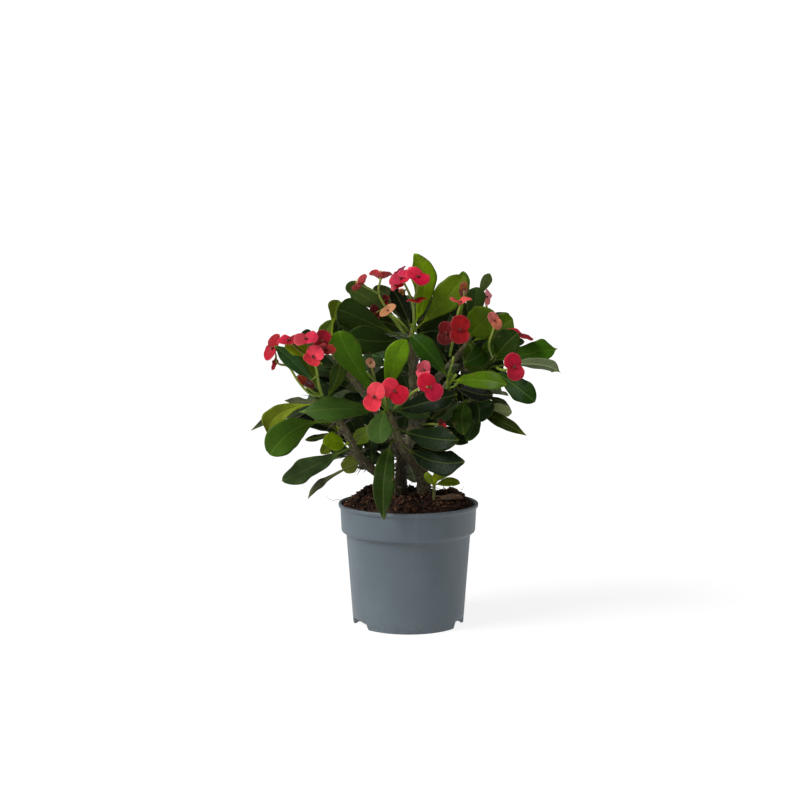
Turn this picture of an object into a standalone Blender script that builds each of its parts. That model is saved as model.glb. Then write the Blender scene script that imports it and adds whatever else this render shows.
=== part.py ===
"""A crown-of-thorns (Euphorbia milii) in a plastic nursery pot.

Every piece that would come apart on a potting bench is an object of its own:
the pot, the soil, a bark chip, the woody stems, each leaf that stands alone,
the leafy shoot tips whose small leaves are still joined at the bud, and each
inflorescence with its stalk and paired bracts.  Metres, +Z up, the pot's axis
on Z and the pot's foot on Z = 0.
"""
import math
import bpy
import bmesh
import numpy as np
from mathutils import Vector

MM = 0.001

# ---------------------------------------------------------------- dimensions
RIM_R = 60.0            # outer radius of the lip
RIM_Z = 103.5           # height of the pot
LIP_H = 3.0             # the lip's height
COLLAR_TOP_R = 58.4     # the collar under the lip
COLLAR_LOW_R = 57.4
COLLAR_LOW_Z = 79.5     # where the collar steps in
BODY_TOP_R = 53.4
BODY_TOP_Z = 76.5
FOOT_R = 47.6           # outer radius on the table
WALL = 1.5              # thickness of the wall
BASE_Z = 3.6            # underside of the raised base plate
BASE_T = 1.6            # thickness of the base plate
GAP = 0.3               # clearance between touching pieces
SOIL_EDGE_Z = 102.0     # soil where it meets the wall
SOIL_CROWN = 8.0        # how far it is mounded above that in the middle
LEAF_T = 0.8            # thickness of a leaf
BRACT_T = 0.9           # thickness of a bract
PEDICEL_R = 0.9         # radius of a flower's own stalk
CYATHIUM_R = 2.3        # radius of the small cup between two bracts
STALK_PART = 0.08       # share of a leaf's length that is its narrow stalk
GOLDEN = math.radians(137.508)
DENSE = ("flowers_left",)

for old in list(bpy.data.objects):
    bpy.data.objects.remove(old, do_unlink=True)

plant = bpy.data.collections.new("potted_euphorbia")
bpy.context.scene.collection.children.link(plant)
cutters = bpy.data.collections.new("cutters")
bpy.context.scene.collection.children.link(cutters)

COLOURS = {
    "pot_plastic": ("#66727a", 0.5), "soil": ("#2c1d15", 0.95),
    "bark": ("#8a6a4a", 0.8), "stem_bark": ("#57493c", 0.85),
    "leaf_green": ("#3a5722", 0.5), "leaf_lime": ("#5a7a00", 0.45),
    "leaf_dark": ("#26381c", 0.5), "leaf_yellow": ("#7a8a1a", 0.55),
    "bract_red": ("#c2203e", 0.55),
}


def unit(v):
    v = np.asarray(v, float)
    return v / max(np.linalg.norm(v), 1e-9)


def rgb(code):
    out = []
    for i in (1, 3, 5):
        c = int(code[i:i + 2], 16) / 255
        out.append(c / 12.92 if c <= 0.04045 else ((c + 0.055) / 1.055) ** 2.4)
    return (*out, 1.0)


def finish(obj, kind):
    """give the object a material of its own in the colour of its kind"""
    code, rough = COLOURS[kind]
    mat = bpy.data.materials.new(obj.name + "_" + kind)
    mat.use_nodes = True
    shader = mat.node_tree.nodes["Principled BSDF"]
    shader.inputs["Base Color"].default_value = rgb(code)
    shader.inputs["Roughness"].default_value = rough
    shader.inputs["Metallic"].default_value = 0.0
    obj.data.materials.clear()
    obj.data.materials.append(mat)
    return obj


def place(name, mesh, where=None):
    obj = bpy.data.objects.new(name, mesh)
    (where or plant).objects.link(obj)
    return obj


def hide(obj):
    """turn an object into a hidden cutter or operand"""
    for coll in list(obj.users_collection):
        coll.objects.unlink(obj)
    cutters.objects.link(obj)
    obj.hide_render = True
    obj.display_type = "WIRE"
    return obj


def boolean(obj, other, how, solver="EXACT"):
    mod = obj.modifiers.new(how.lower(), "BOOLEAN")
    mod.operation = how
    mod.solver = solver
    mod.object = other


def union(pieces):
    """join overlapping pieces into the first one; in the densest cluster the
    crossing bracts defeat the exact solver, so it takes the manifold one"""
    body = pieces[0]
    solver = "MANIFOLD" if body.name in DENSE else "EXACT"
    for other in pieces[1:]:
        boolean(body, hide(other), "UNION", solver)
    return body


# ------------------------------------------------------------------- turning
def turned(name, profile, steps):
    """turn a closed profile, outer side first from top to bottom, about Z"""
    mesh = bpy.data.meshes.new(name)
    bm = bmesh.new()
    verts = [bm.verts.new((r * MM, 0, z * MM)) for r, z in profile]
    for a, b in zip(verts, verts[1:]):
        bm.edges.new((a, b))
    bm.to_mesh(mesh)
    bm.free()
    obj = place(name, mesh)
    mod = obj.modifiers.new("turn", "SCREW")
    mod.axis = "Z"
    mod.steps = steps
    mod.render_steps = steps
    mod.use_merge_vertices = True
    mod.merge_threshold = 0.0001
    return obj


# ------------------------------------------------------------ stems, stalks
def limb(name, points, radii, resolution=2):
    """a round limb along points in mm, with its own radius at each"""
    curve = bpy.data.curves.new(name, "CURVE")
    curve.dimensions = "3D"
    curve.bevel_depth = MM
    curve.bevel_resolution = resolution
    curve.use_fill_caps = True
    line = curve.splines.new("POLY")
    line.points.add(len(points) - 1)
    for node, p, r in zip(line.points, points, radii):
        node.co = (p[0] * MM, p[1] * MM, p[2] * MM, 1)
        node.radius = r
    guide = place(name + "_guide", curve, cutters)
    guide.hide_render = True
    bpy.context.view_layer.update()
    solid = guide.evaluated_get(bpy.context.evaluated_depsgraph_get())
    mesh = bpy.data.meshes.new_from_object(solid)
    bm = bmesh.new()
    bm.from_mesh(mesh)
    bmesh.ops.remove_doubles(bm, verts=bm.verts, dist=1e-6)
    bmesh.ops.recalc_face_normals(bm, faces=bm.faces)
    bm.to_mesh(mesh)
    bm.free()
    obj = place(name, mesh)
    obj.matrix_world = guide.matrix_world
    bpy.data.objects.remove(guide, do_unlink=True)
    return obj


# -------------------------------------------------------------------- leaves
def half_outline(u, peak, stalk):
    """half width of an obovate blade, 0 to 1, along its length u"""
    x = min(max((u - stalk) / (1 - stalk), 0.0), 1.0)
    k = math.log(0.5) / math.log(peak)
    return max(math.sin(math.pi * x ** k), 0.0) ** 0.62


def bent_sheet(name, base, middle, tip, width, face, rows, cols, peak=0.62,
               stalk=STALK_PART, fold=0.17, twist=0.0, thick=LEAF_T):
    """a thin blade: a grid bent along the arc through three points (mm), its
    upper side turned to face, narrowed by half_outline, then given thickness"""
    base, middle, tip = (np.asarray(p, float) for p in (base, middle, tip))
    control = 2 * middle - 0.5 * (base + tip)
    across = unit(np.cross(unit(tip - base), unit(face)))
    bm = bmesh.new()
    bmesh.ops.create_grid(bm, x_segments=cols, y_segments=rows, size=0.5)
    for vert in bm.verts:
        v, u = vert.co.x * 2, min(max(vert.co.y + 0.5, 0.0), 1.0)
        p = (1 - u) ** 2 * base + 2 * u * (1 - u) * control + u * u * tip
        d = unit(2 * (1 - u) * (control - base) + 2 * u * (tip - control))
        side = unit(across - (across @ d) * d)
        up = np.cross(side, d)
        turn = twist * (u - 0.5)
        side, up = (side * math.cos(turn) + up * math.sin(turn),
                    up * math.cos(turn) - side * math.sin(turn))
        half = max(half_outline(u, peak, stalk) * width / 2, 0.7)
        q = (p + side * v * half * math.cos(fold)
             + up * abs(v) ** 1.3 * half * math.sin(fold))
        vert.co = Vector(q * MM)
    mesh = bpy.data.meshes.new(name)
    bm.to_mesh(mesh)
    bm.free()
    obj = place(name, mesh)
    mod = obj.modifiers.new("thickness", "SOLIDIFY")
    mod.thickness = thick * MM
    mod.offset = 0.0
    mod.use_rim = True
    return obj


def leaf(name, base, middle, tip, width, face, kind, peak=0.62,
         stalk=STALK_PART, fold=10, twist=0):
    obj = bent_sheet(name, base, middle, tip, width, face, 6, 2, peak, stalk,
                     math.radians(fold), math.radians(twist))
    return finish(obj, kind)


def shoot(name, hub, radii, leaves, kind):
    """a shoot tip: a short bud-bearing twig with its joined leaves"""
    pieces = [limb(name, hub, radii)]
    for i, row in enumerate(leaves):
        base, middle, tip, width, face, peak, stalk, fold, twist = row
        pieces.append(bent_sheet(f"{name}_blade_{i}", base, middle, tip, width,
                                 face, 5, 2, peak, stalk, math.radians(fold),
                                 math.radians(twist)))
    return finish(union(pieces), kind)


def whorl(name, hub, radii, axis, count, length, width, start, kind,
          spread=(62, 22)):
    """a shoot tip whose leaves follow the golden angle, the lower ones
    spreading widest and the upper ones standing up"""
    axis = unit(axis)
    e1 = unit(np.cross(axis, (0.3, 0.1, 1.0)))
    e2 = np.cross(axis, e1)
    bottom, top = np.asarray(hub[1], float), np.asarray(hub[-1], float)
    rows = []
    for i in range(count):
        k = i / max(count - 1, 1)
        a = start + GOLDEN * i
        out = e1 * math.cos(a) + e2 * math.sin(a)
        tilt = math.radians(spread[0] + (spread[1] - spread[0]) * k)
        aim = axis * math.cos(tilt) + out * math.sin(tilt)
        base = bottom + (top - bottom) * k * 0.9
        size = length * (1.0 - 0.28 * k)
        tip = base + aim * size + np.array((0, 0, -1.0)) * size * 0.10
        middle = base + aim * size * 0.5 + axis * size * 0.07
        face = axis * math.sin(tilt) - out * math.cos(tilt)
        rows.append((base, middle, tip, width * (1.0 - 0.2 * k), face, 0.63,
                     STALK_PART, 10, 0))
    return shoot(name, hub, radii, rows, kind)


# ------------------------------------------------------------------- flowers
def bract_half(u):
    return max(math.sin(math.pi * (u * 0.94 + 0.05) ** 0.92), 0.0) ** 0.5


def bract(name, centre, along, face, length, width):
    """one broad rounded bract, its outer part curling back"""
    along, face = unit(along), unit(face)
    side = np.cross(along, face)
    bm = bmesh.new()
    bmesh.ops.create_grid(bm, x_segments=2, y_segments=3, size=0.5)
    for vert in bm.verts:
        v, u = vert.co.x * 2, min(max(vert.co.y + 0.5, 0.0), 1.0)
        half = max(bract_half(u) * width / 2, 0.8)
        q = (centre + along * (0.5 + u * (length - 0.5)) + side * v * half
             + face * (0.5 * v * v - 4.0 * max(0.0, u - 0.6) ** 1.5))
        vert.co = Vector(q * MM)
    mesh = bpy.data.meshes.new(name)
    bm.to_mesh(mesh)
    bm.free()
    obj = place(name, mesh)
    mod = obj.modifiers.new("thickness", "SOLIDIFY")
    mod.thickness = BRACT_T * MM
    mod.offset = 0.0
    return obj


def cyathium(name, centre):
    """the small cup in the middle of a flower"""
    bm = bmesh.new()
    bmesh.ops.create_icosphere(bm, subdivisions=1, radius=CYATHIUM_R * MM)
    mesh = bpy.data.meshes.new(name)
    bm.to_mesh(mesh)
    bm.free()
    obj = place(name, mesh)
    obj.location = Vector(np.asarray(centre, float) * MM)
    return obj


def inflorescence(name, stalks, flowers):
    """stalks: (points, radii); flowers: centre, face, axis between the two
    bracts, bract length and width, how far they cup up, share of the second,
    and the point on a stalk where the flower's own pedicel starts"""
    pieces = []
    for i, (points, radii) in enumerate(stalks):
        part = name if i == 0 else f"{name}_stalk_{i}"
        pieces.append(limb(part, points, radii, 1))
    for i, row in enumerate(flowers):
        centre, face, axis, length, width, cup, share, foot = row
        centre = np.asarray(centre, float)
        face, axis = unit(face), unit(axis)
        if foot is not None:
            pieces.append(limb(f"{name}_pedicel_{i}", [foot, centre],
                               [PEDICEL_R, PEDICEL_R], 0))
        pieces.append(cyathium(f"{name}_cup_{i}", centre))
        lift = math.radians(cup)
        for j, (sign, scale) in enumerate(((1, 1.0), (-1, share))):
            along = axis * sign * math.cos(lift) + face * math.sin(lift)
            up = face * math.cos(lift) - axis * sign * math.sin(lift)
            pieces.append(bract(f"{name}_bract_{i}_{j}", centre, along, up,
                                length * scale, width))
    return finish(union(pieces), "bract_red")


def fan(name, stalk, radii, top, axis, count, reach, start):
    """an inflorescence that forks evenly at the top of its stalk"""
    axis = unit(axis)
    e1 = unit(np.cross(axis, (0.3, 0.1, 1.0)))
    e2 = np.cross(axis, e1)
    top = np.asarray(top, float)
    rows = []
    for i in range(count):
        a = start + 2 * math.pi * i / count
        out = e1 * math.cos(a) + e2 * math.sin(a)
        centre = top + axis * reach * 0.55 + out * reach
        face = unit(axis * 0.9 + out * 0.7)
        line = unit(np.cross(face, out))
        rows.append((centre, face, line, 9.5, 13.5, 8, 1.0, top))
    return inflorescence(name, [(stalk, radii)], rows)


# ----------------------------------------------------------------------- pot
def make_pot():
    inner = [(0.0, BASE_Z + BASE_T), (FOOT_R - WALL - 1.2, BASE_Z + BASE_T),
             (FOOT_R - WALL + 0.2, BASE_Z + BASE_T + 1.6),
             (BODY_TOP_R - WALL, BODY_TOP_Z), (COLLAR_LOW_R - WALL, COLLAR_LOW_Z + 1.5),
             (COLLAR_TOP_R - WALL, RIM_Z - LIP_H), (COLLAR_TOP_R - WALL + 0.2, RIM_Z - 0.3),
             (COLLAR_TOP_R - WALL + 0.6, RIM_Z)]
    outer = [(RIM_R - 0.5, RIM_Z), (RIM_R, RIM_Z - 0.5), (RIM_R, RIM_Z - LIP_H + 0.4),
             (RIM_R - 0.4, RIM_Z - LIP_H), (COLLAR_TOP_R, RIM_Z - LIP_H - 0.3),
             (COLLAR_LOW_R, COLLAR_LOW_Z + 0.8), (COLLAR_LOW_R - 0.6, COLLAR_LOW_Z),
             (BODY_TOP_R + 0.5, BODY_TOP_Z + 0.8), (BODY_TOP_R, BODY_TOP_Z),
             (FOOT_R + 0.3, 5.0), (FOOT_R, 0.5), (FOOT_R - 0.4, 0.0)]
    under = [(FOOT_R - 2.4, 0.0), (FOOT_R - 2.7, 0.5), (FOOT_R - 2.9, BASE_Z),
             (0.0, BASE_Z)]
    pot = turned("pot", inner + outer + under, 32)
    # two drain notches cut through the skirt, one on each side of the front
    for i, (a0, a1) in enumerate(((-135.0, -167.0), (-37.0, -10.0))):
        steps = 5
        mesh = bpy.data.meshes.new(f"notch_{i}")
        bm = bmesh.new()
        rows = []
        for k in range(steps + 1):
            t = math.radians(a0 + (a1 - a0) * k / steps)
            low = 0.0
            d = (math.cos(t), math.sin(t))
            rows.append([bm.verts.new(Vector((d[0] * r * MM, d[1] * r * MM, z * MM)))
                         for r, z in ((FOOT_R - 6, -2), (FOOT_R + 6, -2),
                                      (FOOT_R + 6, BASE_Z - 0.6), (FOOT_R - 6, BASE_Z - 0.6))])
        for a, b in zip(rows, rows[1:]):
            for k in range(4):
                bm.faces.new((a[k], a[(k + 1) % 4], b[(k + 1) % 4], b[k]))
        bm.faces.new(rows[0][::-1])
        bm.faces.new(rows[-1])
        bmesh.ops.recalc_face_normals(bm, faces=bm.faces)
        bm.to_mesh(mesh)
        bm.free()
        boolean(pot, hide(place(f"notch_{i}", mesh)), "DIFFERENCE")
    return finish(pot, "pot_plastic")


# ---------------------------------------------------------------------- soil
def soil_height(x, y):
    """height in mm of the mounded soil"""
    r = math.hypot(x, y) / (COLLAR_TOP_R - WALL)
    edge = max(0.0, 1 - r * r)
    z = SOIL_EDGE_Z + SOIL_CROWN * edge ** 0.8
    for px, py, spread, rise in ((-30, 22, 16, 4.5), (36, 14, 14, 3.0), (4, 34, 18, 2.5),
                                 (-14, -30, 14, 1.5), (22, -34, 12, 1.2)):
        z += rise * math.exp(-((x - px) ** 2 + (y - py) ** 2) / spread ** 2) * min(1, 3 * edge)
    return z


def make_soil(sockets):
    rings, steps = 5, 30
    top_r = COLLAR_TOP_R - WALL - GAP - 0.6
    levels = [(FOOT_R - WALL - 1.6 - GAP, BASE_Z + BASE_T + GAP),
              (FOOT_R - WALL + 0.2 - GAP - 0.3, BASE_Z + BASE_T + 1.9),
              (BODY_TOP_R - WALL - GAP - 0.3, BODY_TOP_Z - 0.3),
              (COLLAR_LOW_R - WALL - GAP - 0.5, COLLAR_LOW_Z + 1.9)]
    mesh = bpy.data.meshes.new("soil")
    bm = bmesh.new()
    loops = []
    for r, z in levels:
        loops.append([bm.verts.new((r * math.cos(2 * math.pi * k / steps) * MM,
                                    r * math.sin(2 * math.pi * k / steps) * MM, z * MM))
                      for k in range(steps)])
    for i in range(rings):
        r = top_r * (1 - i / rings)
        row = []
        for k in range(steps):
            a = 2 * math.pi * k / steps
            x, y = r * math.cos(a), r * math.sin(a)
            row.append(bm.verts.new((x * MM, y * MM, soil_height(x, y) * MM)))
        loops.append(row)
    crown = bm.verts.new((0, 0, soil_height(0, 0) * MM))
    floor = bm.verts.new((0, 0, levels[0][1] * MM))
    for a, b in zip(loops, loops[1:]):
        for k in range(steps):
            n = (k + 1) % steps
            bm.faces.new((a[k], a[n], b[n], b[k]))
    for k in range(steps):
        n = (k + 1) % steps
        bm.faces.new((loops[-1][k], loops[-1][n], crown))
        bm.faces.new((loops[0][n], loops[0][k], floor))
    bmesh.ops.recalc_face_normals(bm, faces=bm.faces)
    bmesh.ops.triangulate(bm, faces=bm.faces)
    bm.to_mesh(mesh)
    bm.free()
    soil = place("soil", mesh)
    for i, (x, y, r, low) in enumerate(sockets):
        bm = bmesh.new()
        bmesh.ops.create_cone(bm, cap_ends=True, segments=12, radius1=r * MM,
                              radius2=r * MM, depth=40 * MM)
        cut = bpy.data.meshes.new(f"socket_{i}")
        bm.to_mesh(cut)
        bm.free()
        hole = place(f"socket_{i}", cut)
        hole.location = (x * MM, y * MM, (low + 20) * MM)
        boolean(soil, hide(hole), "DIFFERENCE")
    return finish(soil, "soil")


def make_bark_chip(x, y, turn):
    """a rough flat chip of bark lying on the soil"""
    bm = bmesh.new()
    bmesh.ops.create_cube(bm, size=1.0)
    bmesh.ops.subdivide_edges(bm, edges=bm.edges, cuts=2, use_grid_fill=True)
    rise = max(soil_height(x + dx * math.cos(turn) - dy * math.sin(turn),
                           y + dx * math.sin(turn) + dy * math.cos(turn))
               for dx in (-13, -6, 0, 6, 13) for dy in (-4, 0, 4))
    for vert in bm.verts:
        a, b, c = vert.co
        taper = 1 - 0.5 * abs(a) ** 1.5
        vert.co = Vector((a * 24, b * 8 * taper + 0.8 * math.sin(9 * a),
                          c * 3.4 * (1 - 0.5 * abs(b)) + 0.5 * math.sin(7 * a + 2 * b))) * MM
    mesh = bpy.data.meshes.new("bark_chip")
    bm.to_mesh(mesh)
    bm.free()
    chip = place("bark_chip", mesh)
    chip.rotation_euler = (0, 0, turn)
    chip.location = (x * MM, y * MM, (rise + 2.6) * MM)
    return finish(chip, "bark")


# ------------------------------------------------------------ the plant, in mm
# woody stems: each limb is (points from the root up, radius at each point)
STEMS = {
    "stem_left": [
        ([(-9.2, -10, 94), (-9.2, -10, 111.5), (-12.2, -12, 119.3), (-21.5, -16, 126.7), (-32.5, -18, 136.4), (-42.5, -20, 146.9), (-48.3, -22, 158.1), (-54, -24, 170.1), (-60.6, -26, 179.6), (-66.3, -27, 187.2)],
         [4.2, 4.2, 4, 3.9, 3.8, 3.8, 3.6, 3.4, 3.2, 2.8]),
    ],
    "stem_middle": [
        ([(13.4, -4, 96), (13.4, -4, 117.2), (11.7, -4, 128.4), (4.8, -5, 139.7), (-2.9, -6, 148.5), (-8, -6, 157), (-11.4, -6, 166.5), (-14.8, -7, 175.1), (-17.3, -8, 182.9)],
         [6.2, 6, 5.8, 5, 4.4, 4, 3.8, 3.4, 2.6]),
    ],
    "stem_main": [
        ([(-6.3, 12, 96), (-6.3, 12, 120.8), (-5.4, 12, 136.6), (-0.2, 13, 151.3), (4.1, 13, 168.7), (4.9, 11, 190.6), (4, 7, 216.8), (2.2, 4, 234.1), (2.2, 3, 244.4)],
         [5.6, 5.4, 5, 4.6, 4.4, 4.2, 3.8, 3.2, 2.6]),
        ([(4.1, 13, 168.7), (16, 5, 182.5), (26, -5, 194.6), (32.5, -11, 206.1)],
         [3.6, 3.4, 3.2, 2.6]),
        ([(4.9, 11, 188.9), (18.8, 15, 203.3), (36, 15, 220.6), (48.8, 13, 236.2)],
         [3.6, 3.4, 3.2, 2.6]),
        ([(36, 15, 220.6), (51.4, 12, 217.3), (61.6, 9, 219.2), (67.5, 8, 221.9)],
         [3.2, 3, 2.8, 2.4]),
        ([(4.1, 13, 168.7), (23.3, 18, 176.9), (40.7, 20, 183.7), (52.8, 19, 188.2)],
         [3.4, 3.2, 3, 2.4]),
        ([(-5.4, 12, 136.6), (-15.9, 18, 159.4), (-31.4, 16, 185.8), (-48.5, 12, 209.6), (-62, 8, 227)],
         [3.6, 3.4, 3.2, 3, 2.4]),
        ([(-5.4, 12, 136.6), (-14.2, 24, 154.3), (-26.5, 32, 175.5), (-32.7, 37, 188.3)],
         [3.4, 3.2, 3, 2.6]),
        ([(-0.2, 13, 151.3), (17.4, 26, 167.3), (35.1, 34, 186.8), (42.3, 38, 198.9)],
         [3.4, 3.2, 3, 2.6]),
        ([(4, 7, 216.8), (7.6, 18, 229.1), (10.3, 27, 239.1)],
         [3.2, 3, 2.6]),
        ([(-5.4, 12, 120.8), (-7.2, 26, 134.7), (-7.2, 36, 144)],
         [3.4, 3, 2.6]),
    ],
}

# sockets in the soil for the rooted stems: x, y, radius, bottom
SOCKETS = [(-9.2, -10.0, 4.8, 93.4), (13.4, -4.0, 6.8, 95.4), (-6.3, 12.0, 6.2, 95.4), (21.4, -25.0, 2.1, 97.4)]
CHIP = (34.0, -20.0, 0.12)

# single leaves: node, base, middle, tip, width, upper face, colour, widest point,
# stalk share, fold and twist in degrees
LEAVES = [
    ("leaf_crown_tall", (4.8, 4, 253.7), (13.4, 12, 289.4), (4.8, 14, 316.3),
     22, (0.24, -0.96, 0.15), "leaf_green", 0.6, 0.08, 10, 0),
    ("leaf_crown_right", (7.3, 0, 253), (30, -6, 275.9), (46.9, -2, 297.4),
     26, (-0.15, -0.98, 0.09), "leaf_green", 0.66, 0.08, 8, 10),
    ("leaf_left_shoulder", (-3.8, -2, 244.6), (-40.7, -14, 261.8), (-59.6, -22, 269.5),
     26, (0.3, -0.95, -0.09), "leaf_dark", 0.66, 0.08, 8, 0),
    ("leaf_left_broad", (-3.8, -6, 242.2), (-30.4, -28, 243.1), (-50.8, -34, 246.7),
     25, (0.51, -0.83, 0.21), "leaf_dark", 0.62, 0.08, 8, 0),
    ("leaf_centre_lime", (-17.3, -14, 189.4), (-12.9, -44, 223.3), (-1.5, -50, 244.9),
     19, (-0.16, -0.85, -0.51), "leaf_lime", 0.66, 0.08, 8, 0),
    ("leaf_centre_right", (33.1, -18, 211.7), (17.7, -30, 232.4), (2, -24, 247.9),
     18, (0.22, -0.97, 0.03), "leaf_green", 0.6, 0.08, 10, 0),
    ("leaf_left_long", (-23.1, -16, 189.6), (-47.3, -42, 229.8), (-56.8, -46, 252),
     23, (0.24, -0.92, -0.31), "leaf_green", 0.64, 0.08, 8, 0),
    ("leaf_left_under_bloom", (-74.8, -37, 204.7), (-91.9, -48, 224.4), (-109, -51, 240.4),
     14.5, (0.52, -0.83, 0.17), "leaf_green", 0.62, 0.08, 14, 0),
    ("leaf_left_old", (-76.8, -26, 190.5), (-106.9, -30, 183.3), (-115.8, -42, 167.2),
     18, (0.17, -0.92, 0.35), "leaf_yellow", 0.66, 0.08, 16, 0),
    ("leaf_left_drooping", (-63.6, -33, 175.7), (-89, -78, 176.1), (-110.1, -84, 155.2),
     26, (0.61, -0.7, 0.36), "leaf_green", 0.68, 0.2, 8, 0),
    ("leaf_left_wide", (-23.2, -14, 183.5), (-56.6, -40, 187.6), (-90.4, -39, 185.1),
     22, (0.31, -0.81, 0.49), "leaf_green", 0.6, 0.08, 8, 0),
    ("leaf_low_left_wavy", (-50.6, -28, 153), (-77.1, -44, 141.7), (-103.1, -58, 130.5),
     18, (0.38, -0.88, 0.28), "leaf_green", 0.66, 0.08, 8, 0),
    ("leaf_low_left_narrow", (-43.2, -24, 139.8), (-70.4, -34, 126.9), (-83.4, -40, 112.7),
     6, (0.1, -0.92, 0.39), "leaf_dark", 0.6, 0.08, 10, 60),
    ("leaf_left_olive", (-53.1, -28, 156.3), (-59.8, -44, 160.8), (-70.3, -54, 162),
     16, (0.82, -0.48, 0.3), "leaf_lime", 0.55, 0.08, 8, 0),
    ("leaf_stem_left_hanging", (-46.1, -12, 150.9), (-48.9, -8, 140.1), (-53.2, -8, 129.8),
     15, (-0.06, -0.98, -0.17), "leaf_green", 0.66, 0.08, 8, 0),
    ("leaf_stem_left_lit", (-44.4, -14, 153.7), (-40.1, -14, 161.4), (-29.1, -16, 168.4),
     14, (-0.11, -0.99, -0.02), "leaf_green", 0.5, 0.08, 8, 0),
    ("leaf_centre_hanging", (-18.9, -16, 186.2), (-23.5, -46, 174.2), (-21.8, -54, 161.1),
     22, (0.1, -0.55, 0.83), "leaf_green", 0.62, 0.08, 8, 0),
    ("leaf_front_hanging", (-14.8, -14, 156.3), (-20.2, -58, 133), (-20, -70, 100.6),
     18, (0.06, -0.71, 0.7), "leaf_green", 0.5, 0.08, 10, 0),
    ("leaf_mid_right_upper", (-12.2, -14, 183.5), (12.8, -32, 191.9), (40.6, -40, 200),
     20, (-0.49, -0.85, 0.22), "leaf_dark", 0.6, 0.08, 8, 0),
    ("leaf_mid_right_lower", (-7.2, -14, 167.4), (17.5, -46, 164.3), (40.6, -60, 164.3),
     21, (-0.63, -0.68, 0.36), "leaf_dark", 0.62, 0.08, 8, 0),
    ("leaf_low_right", (-3.8, -14, 153.7), (20, -44, 145), (45.7, -58, 146.5),
     22, (-0.58, -0.72, 0.39), "leaf_dark", 0.62, 0.08, 8, 0),
    ("leaf_right_lime", (35.6, -18, 209.1), (58.3, -58, 212.9), (78.2, -72, 209.9),
     15, (-0.76, -0.59, 0.27), "leaf_lime", 0.55, 0.08, 8, 0),
    ("leaf_right_face", (50.3, 10, 245), (59.5, -8, 255.8), (71.5, -16, 267.7),
     29, (-0.5, -0.76, -0.41), "leaf_green", 0.6, 0.08, 8, 0),
    ("leaf_right_mid", (73.5, -4, 226.8), (79.6, -22, 238.7), (90.8, -26, 249.7),
     24, (-0.58, -0.76, -0.29), "leaf_green", 0.6, 0.08, 10, 0),
    ("leaf_right_horizontal", (71.1, 10, 224.3), (103.9, -5, 232), (127.3, 0, 235.4),
     20, (-0.24, -0.89, 0.4), "leaf_dark", 0.6, 0.08, 12, 0),
    ("leaf_right_underside", (71.2, -1, 219.9), (104.5, -40, 224.7), (123.7, -48, 217.9),
     14, (0.56, 0.6, 0.57), "leaf_green", 0.66, 0.08, 12, 0),
    ("leaf_right_drooping", (69.4, -2, 217.4), (85.7, -40, 208.3), (102.7, -52, 194.5),
     19, (-0.63, -0.63, 0.45), "leaf_green", 0.68, 0.08, 8, 0),
    ("leaf_low_right_vertical", (49.5, 6, 191), (44.6, -26, 181.3), (45.8, -36, 165.6),
     17, (0.02, -0.52, 0.85), "leaf_green", 0.55, 0.08, 8, 0),
    ("leaf_low_right_narrow", (60.2, 11, 182.8), (78.3, -12, 174.8), (99.2, -20, 163.4),
     11, (-0.49, -0.81, 0.32), "leaf_dark", 0.46, 0.08, 8, 0),
]

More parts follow.
